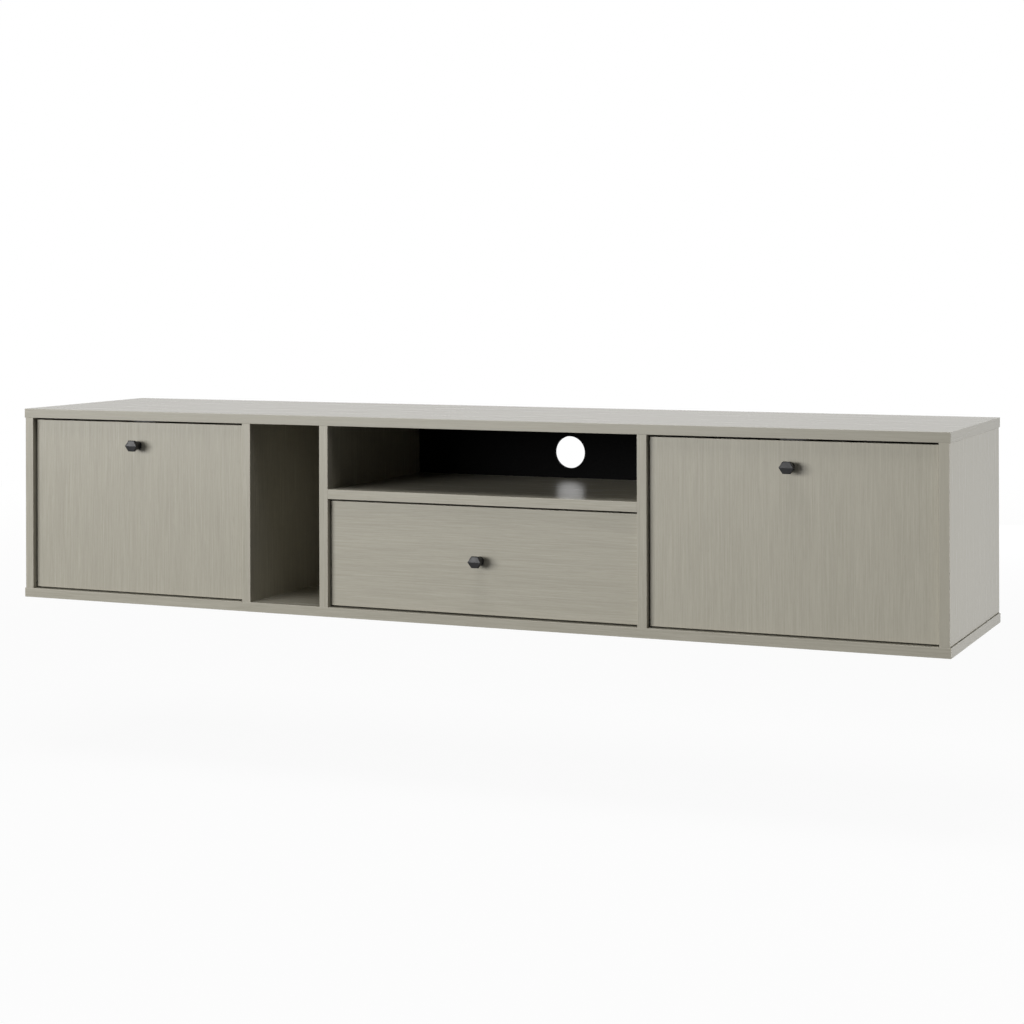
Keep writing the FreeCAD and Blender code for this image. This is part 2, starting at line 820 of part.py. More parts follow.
def box_side(edge, side):
    """One side of the drawer's box."""
    board = block(
        from_face(edge, side, 0, drawer_board_t),
        (box_front_y, box_rear_y),
        (box_z, box_z + drawer_box_h),
    )
    board = eased(board, edge_r, Y_AXIS, lambda c: c.z > box_z + drawer_box_h / 2)
    return board.cut([drawer_base()] + box_dowels() + runner_screws(edge, side, 1))


def box_dowels():
    """The dowels between the sides and the cross boards of the drawer's box."""
    dowels = []
    for edge, out in ((box_x[0], -1), (box_x[1], 1)):
        for y in (box_front_y + drawer_board_t / 2, box_rear_y - drawer_board_t / 2):
            for z in (box_z + box_dowel_rise, box_z + box_dowel_rise + box_dowel_pitch):
                outer = edge - out * box_dowel_cover
                inner = edge - out * (drawer_board_t + dowel_in_board)
                dowels.append(bar(box_dowel_r, (inner, y, z), (outer, y, z)))
    return dowels


# ---------------------------------------------------------------- runners

runner_y = (box_front_y, box_front_y + runner_len)
row_gap = 2 * (ball_r + ball_play)
middle_half_h = runner_h / 2 - steel_t - row_gap
inner_half_h = middle_half_h - steel_t - row_gap
outer_row = runner_h / 2 - steel_t - row_gap / 2
inner_row = middle_half_h - steel_t - row_gap / 2
outer_cage_x = steel_t + cage_play
middle_x = outer_cage_x + cage_t + cage_play
inner_cage_x = middle_x + steel_t + cage_play
drawer_member_x = inner_cage_x + cage_t + cage_play
cage_y = (runner_y[1] - cage_end_gap - cage_len, runner_y[1] - cage_end_gap)

RUNNERS = {
    # name: face of the board that carries it, way to the drawer
    "left": (centre_x, 1),
    "right": (right_divider_x, -1),
}


def channel(face, side, web, tips, thickness, half_h, y):
    """A channel along Y: its web lies at one distance from a face, and its tips at another."""
    outer = block(from_face(face, side, web, tips), y, (runner_mid_z - half_h, runner_mid_z + half_h))
    open_web = web + thickness if tips > web else web - thickness
    hollow = block(
        from_face(face, side, open_web, tips + (tips - web)),
        (y[0] - 1, y[1] + 1),
        (runner_mid_z - half_h + thickness, runner_mid_z + half_h - thickness),
    )
    return outer.cut(hollow)


def runner_screws(face, side, member):
    """The screws of one runner: member 0 is on the carcass, member 1 on the drawer."""
    screws = []
    out = -side
    for y in (runner_y[0] + runner_screw_inset, runner_y[1] - runner_screw_inset):
        if member:
            head, tip = face - side * steel_t, face + side * (runner_screw_len - steel_t)
        else:
            head, tip = face + side * steel_t, face + out * (runner_screw_len - steel_t)
        screws.append(
            screw((head, y, runner_mid_z), (tip, y, runner_mid_z), runner_screw_r, runner_screw_head_r)
        )
    return screws


def carcass_member(face, side):
    """The runner's fixed channel."""
    tips = runner_w - 3 * steel_t
    member = channel(face, side, 0, tips, steel_t, runner_h / 2, runner_y)
    return member.cut(runner_screws(face, side, 0))


def middle_member(face, side):
    """The runner's middle channel."""
    tips = runner_w - 2 * steel_t
    return channel(face, side, middle_x, tips, steel_t, middle_half_h, runner_y)


def drawer_member(face, side):
    """The runner's channel on the drawer, which opens towards the carcass."""
    member = channel(face, side, runner_w, drawer_member_x, steel_t, inner_half_h, runner_y)
    return member.cut(runner_screws(face + side * runner_w, side, 1))


def ball_cage(face, side, web, half_h, row):
    """A retainer that keeps two rows of balls, and the balls."""
    tips = runner_w - 3 * steel_t
    cage = channel(face, side, web, tips, cage_lip_t, half_h, cage_y)
    slim = block(
        from_face(face, side, web + cage_t, web + cage_lip_t),
        cage_y,
        (runner_mid_z - half_h + cage_lip_t, runner_mid_z + half_h - cage_lip_t),
    )
    cage = cage.cut(slim)
    x = face + side * (web + cage_lip_t + tips) / 2
    step = cage_len / balls_per_row
    balls = []
    for i in range(balls_per_row):
        for way in (-1, 1):
            centre = V(x, cage_y[0] + step * (i + 0.5), runner_mid_z + way * row)
            balls.append(Part.makeSphere(ball_r, centre))
    seats = [Part.makeSphere(ball_r + ball_play / 3, ball.CenterOfMass) for ball in balls]
    return [cage.cut(seats)] + balls


# ---------------------------------------------------------------- all pieces


def carcass_pieces():
    """The boards, the back panel and the hanging rails."""
    pieces = {
        "top_panel": cap_board(lid_z),
        "bottom_panel": cap_board(0.0),
        "centre_shelf": centre_shelf(),
        "back_panel": back_panel(),
        "back_panel_screws": back_screws(),
        "hanging_batten": hanging_batten(),
        "carcass_rails": [carcass_rail(span) for span in rail_spans()],
        "wall_rails": [wall_rail(span) for span in rail_spans()],
    }
    for name in UPRIGHTS:
        pieces[name] = upright(name)
    return pieces


def carcass_fastenings():
    """The cams with their bolts, and the dowels."""
    cams, bolts, dowels = [], [], shelf_dowels() + batten_dowels()
    for x, rear, side in UPRIGHTS.values():
        dowels += upright_dowels(x)
        if side:
            for z, out in CAP_JOINTS:
                for y in fixing_places()[0]:
                    cam, bolt, holes = cam_joint(x, side, y, z, out)
                    cams.append(cam)
                    bolts.append(bolt)
    return {"cam_locks": cams, "cam_bolts": bolts, "carcass_dowels": dowels}


def flap_pieces():
    """Both flaps with their pivots, knobs, stays and catches."""
    pieces = {"flap_pivot_bushes": [], "brake_mounts": [], "magnetic_catches": []}
    for name, flap in FLAPS.items():
        pieces[name + "_flap_panel"] = flap.panel()
        pieces[name + "_flap_knob"] = flap.knob()
        pieces[name + "_flap_knob_screw"] = flap.knob_screw()
        pieces[name + "_flap_pivot_pins"] = flap.pivot_pins()
        pieces[name + "_stay_bracket"] = flap.bracket()
        pieces[name + "_stay_bracket_screws"] = flap.bracket_screws()
        pieces[name + "_strike_plate"] = flap.strike()
        pieces[name + "_stay_rod"] = flap.rod()
        pieces[name + "_stay_brake"] = flap.brake()
        pieces["flap_pivot_bushes"] += flap.bushes()
        pieces["brake_mounts"].append(flap.brake_mount())
        pieces["magnetic_catches"] += flap.catch()
    return pieces


def drawer_pieces():
    """The drawer with its knob and screws."""
    inner_screw = knob_screw(knob_x, knob_z, box_front_y + drawer_board_t)
    front_cutters = front_screws() + box_dowels() + [inner_screw]
    return {
        "drawer_front": drawer_front(),
        "drawer_knob": knob(knob_x, knob_z),
        "drawer_knob_screw": inner_screw,
        "drawer_front_screws": front_screws(),
        "drawer_box_front": box_cross_board(box_front_y, front_cutters),
        "drawer_box_back": box_cross_board(box_rear_y - drawer_board_t, box_dowels()),
        "drawer_box_left_side": box_side(box_x[0], 1),
        "drawer_box_right_side": box_side(box_x[1], -1),
        "drawer_bottom": drawer_base(),
        "drawer_box_dowels": box_dowels(),
    }


def runner_pieces():
    """Both runners, and their screws in the drawer."""
    pieces = {"runner_drawer_screws": []}
    outer_half_h, inner_half_h = outer_row + cage_lip_t / 2, inner_row + cage_lip_t / 2
    for name, (face, way) in RUNNERS.items():
        pieces[name + "_runner_carcass_member"] = carcass_member(face, way)
        pieces[name + "_runner_middle_member"] = middle_member(face, way)
        pieces[name + "_runner_drawer_member"] = drawer_member(face, way)
        pieces[name + "_runner_outer_cage"] = ball_cage(face, way, outer_cage_x, outer_half_h, outer_row)
        pieces[name + "_runner_inner_cage"] = ball_cage(face, way, inner_cage_x, inner_half_h, inner_row)
        pieces["runner_drawer_screws"] += runner_screws(face + way * runner_w, way, 1)
    return pieces


def fitting_screws():
    """The screws of the rails, the brakes' plates and the runners' fixed members."""
    screws = rail_screws()
    for flap in FLAPS.values():
        screws += flap.mount_screws()
    for face, way in RUNNERS.values():
        screws += runner_screws(face, way, 0)
    return {"fitting_screws": screws}


def all_pieces():
    """Every named sub-part, as one shape or a list of separate solids."""
    groups = (
        carcass_pieces(),
        carcass_fastenings(),
        flap_pieces(),
        drawer_pieces(),
        runner_pieces(),
        fitting_screws(),
    )
    return {name: piece for group in groups for name, piece in group.items()}


def main():
    """Write one STEP file for each sub-part."""
    os.makedirs("parts", exist_ok=True)
    pieces = all_pieces()
    for name, shape in pieces.items():
        if isinstance(shape, list):
            shape = Part.makeCompound(shape)
        shape.exportStep(os.path.join("parts", name + ".step"))
        print(name, len(shape.Solids), shape.isValid(), round(shape.Volume))
    print(len(pieces), "sub-parts")


main()
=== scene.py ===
"""The looks of a wall-hung media console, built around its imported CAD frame.

Every length is in metres, in the frame's own axes: X to the right, Y towards the wall and Z up.
"""

import json
import logging
from collections.abc import Callable
from dataclasses import dataclass
from enum import Enum
from math import radians

import bpy
from mathutils import Euler, Matrix, Vector


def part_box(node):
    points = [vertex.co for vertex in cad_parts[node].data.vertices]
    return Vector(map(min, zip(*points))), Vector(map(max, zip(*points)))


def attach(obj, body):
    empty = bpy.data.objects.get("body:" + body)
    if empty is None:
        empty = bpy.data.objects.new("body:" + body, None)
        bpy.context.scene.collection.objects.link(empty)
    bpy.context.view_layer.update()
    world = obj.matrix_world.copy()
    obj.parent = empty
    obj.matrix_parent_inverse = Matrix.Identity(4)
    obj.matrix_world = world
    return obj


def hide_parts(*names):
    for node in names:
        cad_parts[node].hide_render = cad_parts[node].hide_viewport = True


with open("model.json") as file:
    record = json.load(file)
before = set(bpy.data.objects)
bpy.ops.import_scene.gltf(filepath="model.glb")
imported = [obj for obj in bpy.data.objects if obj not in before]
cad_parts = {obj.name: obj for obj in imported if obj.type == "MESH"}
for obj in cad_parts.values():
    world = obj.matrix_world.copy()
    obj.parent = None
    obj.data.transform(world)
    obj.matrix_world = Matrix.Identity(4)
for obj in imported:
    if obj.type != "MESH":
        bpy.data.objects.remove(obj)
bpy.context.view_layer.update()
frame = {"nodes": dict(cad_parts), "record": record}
log = logging.getLogger("console")

Socket = bpy.types.NodeSocket
Material = bpy.types.Material
Object = bpy.types.Object


class Axis(Enum):
    """The row axis that a grain, a bar or a screw runs along."""

    X = 0
    Y = 1
    Z = 2


def corners(node: str) -> tuple[Vector, Vector]:
    """The lowest and highest corners of a CAD node."""
    low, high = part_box(node)
    return Vector(low), Vector(high)


class Graph:
    """The node tree of a material or world, with short calls for the nodes it is wired from."""

    def __init__(self, owner: Material | bpy.types.World) -> None:
        """Empty the tree.

        Args:
            owner: The new material or world.
        """
        owner.use_nodes = True
        self.owner = owner
        self.tree = owner.node_tree
        self.tree.nodes.clear()

    @classmethod
    def material(cls, name: str) -> "Graph":
        """Start an empty material."""
        return cls(bpy.data.materials.new(name))

    def node(self, kind: str, **settings: object) -> bpy.types.Node:
        """Add one node.

        Args:
            kind: The node's type, without the ShaderNode prefix.
            settings: Properties to set on it.

        Returns:
            The new node.
        """
        new = self.tree.nodes.new("ShaderNode" + kind)
        for key, value in settings.items():
            setattr(new, key, value)
        return new

    def feed(self, socket: Socket, value: object) -> None:
        """Link a socket to another, or set its own value.

        Args:
            socket: The input socket.
            value: An output socket, a number, or a tuple of numbers.
        """
        if isinstance(value, Socket):
            self.tree.links.new(value, socket)
        else:
            socket.default_value = value

    def place(self) -> Socket:
        """The object coordinates, in metres."""
        return self.node("TexCoord").outputs["Object"]

    def math(self, operation: str, *values: object) -> Socket:
        """One Math node.

        Args:
            operation: The operation's name.
            values: Its inputs, sockets or numbers.

        Returns:
            The node's output.
        """
        new = self.node("Math", operation=operation)
        for socket, value in zip(new.inputs, values):
            self.feed(socket, value)
        return new.outputs[0]

    def vector(self, operation: str, *values: object) -> Socket:
        """One Vector Math node.

        Args:
            operation: The operation's name.
            values: Its inputs, sockets or triples.

        Returns:
            The node's first output.
        """
        new = self.node("VectorMath", operation=operation)
        for socket, value in zip(new.inputs, values):
            self.feed(socket, value)
        return new.outputs[0]

    def split(self, vector: Socket) -> list[Socket]:
        """The parts of a vector.

        Args:
            vector: The vector.

        Returns:
            Its X, Y and Z.
        """
        new = self.node("SeparateXYZ")
        self.feed(new.inputs[0], vector)
        return list(new.outputs)

    def sum_of(self, *shares: tuple[Socket, float]) -> Socket:
        """Add up values, each times its weight.

        Args:
            shares: The values and their weights.

        Returns:
            The sum.
        """
        first, *others = [self.math("MULTIPLY", value, weight) for value, weight in shares]
        for other in others:
            first = self.math("ADD", first, other)
        return first

    def blend(self, factor: object, first: object, second: object) -> Socket:
        """Mix two colours.

        Args:
            factor: How much of the second shows.
            first: A colour socket or four numbers.
            second: A colour socket or four numbers.

        Returns:
            The mixed colour.
        """
        new = self.node("Mix", data_type="RGBA")
        self.feed(new.inputs[0], factor)
        self.feed(new.inputs[6], first)
        self.feed(new.inputs[7], second)
        return new.outputs[2]

    def span(self, value: Socket, low: float, high: float, start: float, end: float) -> Socket:
        """Map one range of a value to another, clamped and smooth.

        Args:
            value: The value to map.
            low: Where the range starts.
            high: Where the range ends.
            start: The result at low.
            end: The result at high.

        Returns:
            The mapped value.
        """
        new = self.node("MapRange", interpolation_type="SMOOTHSTEP")
        for socket, number in zip(new.inputs, (value, low, high, start, end)):
            self.feed(socket, number)
        return new.outputs[0]

    def tones(self, value: Socket, dark: tuple, light: tuple, spread: float = 0.15) -> Socket:
        """A colour between two, from a value about one half.

        Args:
            value: The value.
            dark: The colour where it is low, as three numbers.
            light: The colour where it is high.
            spread: How far from one half the two are reached.

        Returns:
            The colour.
        """
        share = self.span(value, 0.5 - spread, 0.5 + spread, 0.0, 1.0)
        return self.blend(share, (*dark, 1.0), (*light, 1.0))

    def grain(self, place: Socket, stretch: tuple, detail: float = 2.0, rough: float = 0.5) -> Socket:
        """Noise that repeats at its own rate along each axis.

        Args:
            place: The place it reads.
            stretch: How often it repeats per metre along X, Y and Z.
            detail: Its number of octaves.
            rough: How strong the finer octaves are.

        Returns:
            The noise, from 0 to 1.
        """
        return self.noise(self.vector("MULTIPLY", place, stretch), 1.0, detail, rough)

    def noise(self, place: Socket, scale: float, detail: float, rough: float) -> Socket:
        """A noise texture's factor.

        Args:
            place: The place it reads.
            scale: Its scale.
            detail: Its number of octaves.
            rough: How strong the finer octaves are.

        Returns:
            The noise, from 0 to 1.
        """
        new = self.node("TexNoise")
        self.feed(new.inputs["Vector"], place)
        self.feed(new.inputs["Scale"], scale)
        self.feed(new.inputs["Detail"], detail)
        self.feed(new.inputs["Roughness"], rough)
        return new.outputs[0]

    def bump(self, height: Socket, distance: float, strength: float) -> Socket:
        """A bump from a height between 0 and 1.

        Args:
            height: The height.
            distance: How deep it is, in metres.
            strength: How much of it counts.

        Returns:
            The normal.
        """
        new = self.node("Bump")
        self.feed(new.inputs["Height"], height)
        self.feed(new.inputs["Distance"], distance)
        self.feed(new.inputs["Strength"], strength)
        return new.outputs[0]

    def shade(self, **inputs: object) -> Material:
        """Finish the material with one Principled shader.

        Args:
            inputs: The shader's inputs, with underscores for spaces.

        Returns:
            The material.
        """
        shader = self.node("BsdfPrincipled")
        for key, value in inputs.items():
            self.feed(shader.inputs[key.replace("_", " ")], value)
        output = self.node("OutputMaterial")
        self.feed(output.inputs["Surface"], shader.outputs[0])
        return self.owner


# ---------------------------------------------------------------- finishes

# The grey-green of the stained oak, and how many times as bright it is in the figure's light and dark,
# in the pores, and along the edges, where wear and a painted highlight lighten it.
STAIN = (0.382, 0.362, 0.298)
LIGHT = (1.10, 1.10, 1.11)
DARK = (0.91, 0.905, 0.895)
DEEP = (0.70, 0.69, 0.66)
EDGE_WEAR_AND_HIGHLIGHT = (1.36, 1.36, 1.40)
PORE_SHARE = 0.30
EDGE_WEAR_AND_HIGHLIGHT_SHARE = 0.38

# Between which values a noise nearly always lies, and a pore's noise at its rim and in its middle.
NOISE_REACH = (0.3, 0.7)
PORE_REACH = (0.60, 0.72)

# How often the veneer's figure repeats per metre, along the grain and across it.
DRIFT = (2.0, 6.0, 6.0)
RIPPLE = (22.0, 60.0, 60.0)
BROAD = (4.0, 42.0, 42.0)
STREAK = (6.0, 420.0, 420.0)
FIBRE = (14.0, 980.0, 980.0)
PORE = (60.0, 1500.0, 1500.0)

# How far drift and ripple push the figure aside, how much each noise counts in its colour and relief,
# and how far from the mean its light and dark lie.
DRIFT_SWAY = 0.007
RIPPLE_SWAY = 0.0007
BROAD_SHARE = 0.10
STREAK_SHARE = 0.32
FIBRE_SHARE = 0.58
FIBRE_RELIEF = 0.6
PORE_RELIEF = -0.3
FIGURE_SPREAD = 0.14

# How the place where a board's veneer was cut is spread over the figure's X, Y and Z.
CUT_SPREAD = (1.0, 0.37, 0.61)

# How far in from a board's faces the edges' wear with its painted highlight, and the banding on its ends,
# reach.
EDGE_WEAR_AND_HIGHLIGHT_REACH = (0.0004, 0.0011)
BAND_REACH = (0.0004, 0.0007)

LACQUER_ROUGH = (0.245, 0.275)
LACQUER_IOR = 1.34
GRAIN_DEPTH = 0.000012


@dataclass(frozen=True)
class Veneer:
    """Grey-green stained oak veneer under a satin lacquer, cut for one board.

    The board's box gives the places of its edges, with their wear and painted highlight, and of the banding
    on its ends.
    """

    node: str
    grain: Axis
    band: Axis
    shift: float
    # Whether the board's ends also get the edge wear and its painted highlight.
    wear_and_highlight_on_ends: bool = True
    tone: float = 1.0
    figure: float = 1.0

    def material(self) -> Material:
        """Build the material.

        Returns:
            The veneer for this board.
        """
        graph = Graph.material("veneer_" + self.node)
        low, high = corners(self.node)
        centre, half = (low + high) / 2, (high - low) / 2
        local = graph.vector("SUBTRACT", graph.place(), centre)
        depth = graph.vector("SUBTRACT", half, graph.vector("ABSOLUTE", local))
        insets = graph.split(depth)
        on_end = graph.span(insets[self.grain.value], *BAND_REACH, 1.0, 0.0)
        # Boards without it get no edge wear and painted highlight along their ends.
        if not self.wear_and_highlight_on_ends:
            insets[self.grain.value] = graph.math("ADD", insets[self.grain.value], 1.0)
        wear_and_highlight = self.edge_wear_and_highlight(graph, insets)
        coordinates = self.along_grain(graph, local, on_end)
        return self.dress(graph, coordinates, wear_and_highlight)

    def stain(self, factors: tuple, strength: float = 1.0) -> tuple:
        """The stain's colour, made lighter or darker.

        Args:
            factors: How many times as bright it is in red, green and blue.
            strength: How much of that change counts.

        Returns:
            The colour.
        """
        pairs = zip(STAIN, factors)
        return tuple(self.tone * own * (1.0 + (factor - 1.0) * strength) for own, factor in pairs)

    def edge_wear_and_highlight(self, graph: Graph, insets: list) -> Socket:
        """Where the finish is thin along the board's edges, and where a painted highlight lightens them.

        Args:
            graph: The material's graph.
            insets: The distances from the board's faces along X, Y and Z.

        Returns:
            1 on an edge, 0 away from it.
        """
        lesser = graph.math("MINIMUM", insets[0], insets[1])
        greater = graph.math("MAXIMUM", insets[0], insets[1])
        middle = graph.math("MAXIMUM", lesser, graph.math("MINIMUM", greater, insets[2]))
        return graph.span(middle, *EDGE_WEAR_AND_HIGHLIGHT_REACH, 1.0, 0.0)

    def along_grain(self, graph: Graph, local: Socket, on_end: Socket) -> Socket:
        """Coordinates whose X runs along the grain, and along the banding on the ends.

        Args:
            graph: The material's graph.
            local: The place on the board.
            on_end: 1 on the banded ends.

        Returns:
            The coordinates.
        """
        parts = graph.split(local)
        turned = []
        for first in (self.grain, self.band):
            rest = [axis for axis in Axis if axis is not first]
            new = graph.node("CombineXYZ")
            for socket, axis in zip(new.inputs, (first, *rest)):
                graph.feed(socket, parts[axis.value])
            turned.append(new.outputs[0])
        mixed = graph.node("Mix", data_type="VECTOR")
        graph.feed(mixed.inputs[0], on_end)
        graph.feed(mixed.inputs[4], turned[0])
        graph.feed(mixed.inputs[5], turned[1])
        return graph.vector("ADD", mixed.outputs[1], tuple(self.shift * share for share in CUT_SPREAD))

    def dress(self, graph: Graph, place: Socket, wear_and_highlight: Socket) -> Material:
        """Colour, sheen and relief from the grain's coordinates.

        Args:
            graph: The material's graph.
            place: Coordinates along and across the grain.
            wear_and_highlight: The edge wear with its painted highlight.

        Returns:
            The finished material.
        """
        drift = graph.math("SUBTRACT", graph.grain(place, DRIFT), 0.5)
        ripple = graph.math("SUBTRACT", graph.grain(place, RIPPLE), 0.5)
        sway = graph.sum_of((drift, DRIFT_SWAY), (ripple, RIPPLE_SWAY))
        bend = graph.node("CombineXYZ")
        graph.feed(bend.inputs[1], sway)
        graph.feed(bend.inputs[2], sway)
        bent = graph.vector("ADD", place, bend.outputs[0])
        broad = graph.grain(bent, BROAD)
        streak = graph.grain(bent, STREAK, 3.0, 0.62)
        fibre = graph.grain(bent, FIBRE, 3.0, 0.65)
        pores = graph.span(graph.grain(bent, PORE, 1.0), *PORE_REACH, 0.0, 1.0)
        mean = graph.sum_of((broad, BROAD_SHARE), (streak, STREAK_SHARE), (fibre, FIBRE_SHARE))
        dark, light = self.stain(DARK, self.figure), self.stain(LIGHT, self.figure)
        colour = graph.tones(mean, dark, light, FIGURE_SPREAD)
        deep, pale = (*self.stain(DEEP, self.figure), 1.0), (*self.stain(EDGE_WEAR_AND_HIGHLIGHT), 1.0)
        colour = graph.blend(graph.math("MULTIPLY", pores, PORE_SHARE), colour, deep)
        # Lighten the edges: partly wear, partly a painted highlight for the light that the edges catch.
        colour = graph.blend(graph.math("MULTIPLY", wear_and_highlight, EDGE_WEAR_AND_HIGHLIGHT_SHARE), colour, pale)
        relief = graph.sum_of((fibre, FIBRE_RELIEF), (pores, PORE_RELIEF))
        normal = graph.bump(relief, GRAIN_DEPTH, 0.6)
        rough = graph.span(streak, *NOISE_REACH, *LACQUER_ROUGH)
        return graph.shade(Base_Color=colour, Roughness=rough, Normal=normal, IOR=LACQUER_IOR)


@dataclass(frozen=True)
class Board:
    """A plain board or timber: its colours, the size of its figure, and its sheen."""

    name: str
    light: tuple
    dark: tuple
    stretch: tuple
    rough: tuple
    relief: float = 0.00005
    shine: float = 0.5
    fleck_scale: float = 7.0
    fleck_share: float = 0.4

    def material(self) -> Material:
        """Build the material.

        Returns:
            The board's finish.
        """
        graph = Graph.material(self.name)
        place = graph.vector("MULTIPLY", graph.place(), self.stretch)
        figure = graph.noise(place, 1.0, 4.0, 0.6)
        fleck = graph.noise(place, self.fleck_scale, 2.0, 0.6)
        both = graph.sum_of((figure, 1.0 - self.fleck_share), (fleck, self.fleck_share))
        colour = graph.tones(both, self.dark, self.light)
        rough = graph.span(fleck, *NOISE_REACH, *self.rough)
        normal = graph.bump(both, self.relief, 0.5)
        return graph.shade(Base_Color=colour, Roughness=rough, Normal=normal, Specular_IOR_Level=self.shine)


@dataclass(frozen=True)
class BackBoard:
    """The hardboard behind the bays: bare and pressed on its rear face; on its inner face black, so dark
    that it also paints the shade deep in the bays.
    """

    name: str = "black_hardboard_and_painted_shade"
    node: str = "back_panel"
    # The inner face's black, dark enough to stand for the shade deep in the bays as well: painted shade.
    black_and_shade_light: tuple = (0.0040, 0.0040, 0.0040)
    black_and_shade_dark: tuple = (0.0022, 0.0022, 0.0022)
    light: tuple = (0.060, 0.052, 0.045)
    dark: tuple = (0.036, 0.031, 0.027)
    rough: tuple = (0.60, 0.70)
    shine: float = 0.02
    flecks: float = 260.0
    clouds: float = 9.0
    cloud_share: float = 0.35
    mesh_pitch: float = 900.0
    relief: float = 0.00006
    bare_from: float = 0.0006  # how far in from the rear face the bare board starts
    bare_full: float = 0.0004

    def material(self) -> Material:
        """Build the material.

        Returns:
            The board's finish.
        """
        graph = Graph.material(self.name)
        rear_y = corners(self.node)[1].y
        place = graph.place()
        across = graph.split(place)[Axis.Y.value]
        behind = graph.span(across, rear_y - self.bare_from, rear_y - self.bare_full, 0.0, 1.0)
        fleck = graph.grain(place, (self.flecks,) * 3, 4.0, 0.65)
        cloud = graph.grain(place, (self.clouds,) * 3, 3.0)
        press = graph.grain(place, (self.mesh_pitch,) * 3, 1.0)
        both = graph.sum_of((fleck, 1.0 - self.cloud_share), (cloud, self.cloud_share))
        bare = graph.tones(both, self.dark, self.light, FIGURE_SPREAD)
        # The inner face: black board, darkened into painted shade for the depth of the bays.
        black = graph.tones(fleck, self.black_and_shade_dark, self.black_and_shade_light)
        colour = graph.blend(behind, black, bare)
        rough = graph.span(fleck, *NOISE_REACH, *self.rough)
        normal = graph.bump(graph.math("ADD", fleck, press), self.relief, 0.4)
        return graph.shade(Base_Color=colour, Roughness=rough, Normal=normal, Specular_IOR_Level=self.shine)


@dataclass(frozen=True)
class Metal:
    """A metal or a coat on metal: its colours, its brushing and its sheen."""

    name: str
    light: tuple
    dark: tuple
    metallic: float
    rough: tuple
    stretch: tuple = (400.0, 400.0, 400.0)
    relief: float = 0.00002
    shine: float = 0.5
    fine_scale: float = 4.0
    patch_scale: float = 0.25

    def material(self) -> Material:
        """Build the material.

        Returns:
            The metal's finish.
        """
        graph = Graph.material(self.name)
        place = graph.vector("MULTIPLY", graph.place(), self.stretch)
        fine = graph.noise(place, self.fine_scale, 2.0, 0.6)
        patch = graph.noise(place, self.patch_scale, 3.0, 0.55)
        colour = graph.tones(patch, self.dark, self.light)
        rough = graph.span(patch, *NOISE_REACH, *self.rough)
        normal = graph.bump(fine, self.relief, 0.5)
        return graph.shade(
            Base_Color=colour,
            Metallic=self.metallic,
            Roughness=rough,
            Normal=normal,
            Specular_IOR_Level=self.shine,
        )


FINISHES = {
    "black_board": BackBoard(),
    "plain_timber": Board("beech", (0.60, 0.44, 0.27), (0.47, 0.32, 0.18), (6.0, 90.0, 90.0), (0.55, 0.7)),
    "drawer_board": Board(
        "drawer_board", (0.31, 0.295, 0.25), (0.27, 0.255, 0.21), (90.0, 6.0, 90.0), (0.45, 0.55)
    ),
    "black_metal": Metal(
        "black_powder_coat",
        (0.0045, 0.0045, 0.0050),
        (0.0030, 0.0030, 0.0033),
        0.0,
        (0.36, 0.44),
        shine=0.28,
    ),
    "bright_steel": Metal("bright_zinc", (0.62, 0.62, 0.61), (0.50, 0.50, 0.50), 1.0, (0.22, 0.34)),
    "zinc_steel": Metal("galvanised_sheet", (0.42, 0.43, 0.44), (0.32, 0.33, 0.34), 1.0, (0.34, 0.48)),
    "cast_zinc": Metal("cast_zinc", (0.48, 0.48, 0.47), (0.38, 0.38, 0.38), 1.0, (0.42, 0.55)),
    "dark_plastic": Metal("moulded_nylon", (0.035, 0.035, 0.037), (0.026, 0.026, 0.028), 0.0, (0.42, 0.55)),
}

MAGNET = Metal("ferrite", (0.055, 0.052, 0.050), (0.035, 0.033, 0.032), 0.0, (0.55, 0.70))

# Each board's grain, the grain of the banding on its ends, and where its veneer was cut.
VENEERS = (
    Veneer("top_panel", Axis.X, Axis.Y, 0.0, tone=0.91, figure=0.55),
    Veneer("bottom_panel", Axis.X, Axis.Y, 3.1, tone=0.96),
    Veneer("centre_shelf", Axis.X, Axis.Y, 6.3, wear_and_highlight_on_ends=False),
    Veneer("left_side_panel", Axis.Z, Axis.Y, 9.2, wear_and_highlight_on_ends=False),
    Veneer("left_divider", Axis.Z, Axis.Y, 12.7, wear_and_highlight_on_ends=False),
    Veneer("niche_divider", Axis.Z, Axis.Y, 15.4, wear_and_highlight_on_ends=False),
    Veneer("right_divider", Axis.Z, Axis.Y, 18.8, wear_and_highlight_on_ends=False),
    Veneer("right_side_panel", Axis.Z, Axis.Y, 21.5, wear_and_highlight_on_ends=False, tone=1.01, figure=0.45),
    Veneer("left_flap_panel", Axis.Z, Axis.X, 24.9, figure=0.9),
    Veneer("right_flap_panel", Axis.Z, Axis.X, 28.3, tone=1.05, figure=0.85),
    Veneer("drawer_front", Axis.X, Axis.Z, 31.6, tone=1.02, figure=0.8),
)


def dress_nodes(finishes: dict[str, Material]) -> None:
    """Give every CAD node its finish from the record's slots.

    Args:
        finishes: The finish of each slot.
    """
    slots = {part["node"]: part["material_slot"] for part in frame["record"]["subparts"]}
    veneers = {veneer.node: veneer.material() for veneer in VENEERS}
    for name, node in frame["nodes"].items():
        node.data.materials.clear()
        node.data.materials.append(veneers.get(name) or finishes[slots[name]])
        log.info("dressed %s", name)


# ---------------------------------------------------------------- bench


class Part(Enum):
    """What is picked in edit mode."""

    EDGE = (False, True, False)
    FACE = (False, False, True)


# How far a face or edge may lie from the place it is looked for, and how near two corners are one.
TOUCH = 2e-5
WELD = 1e-6

# How much of a face's normal lies along an axis, at least where it is square to it and at most where
# it runs along it.
SQUARE = 0.9
LEVEL = 0.1

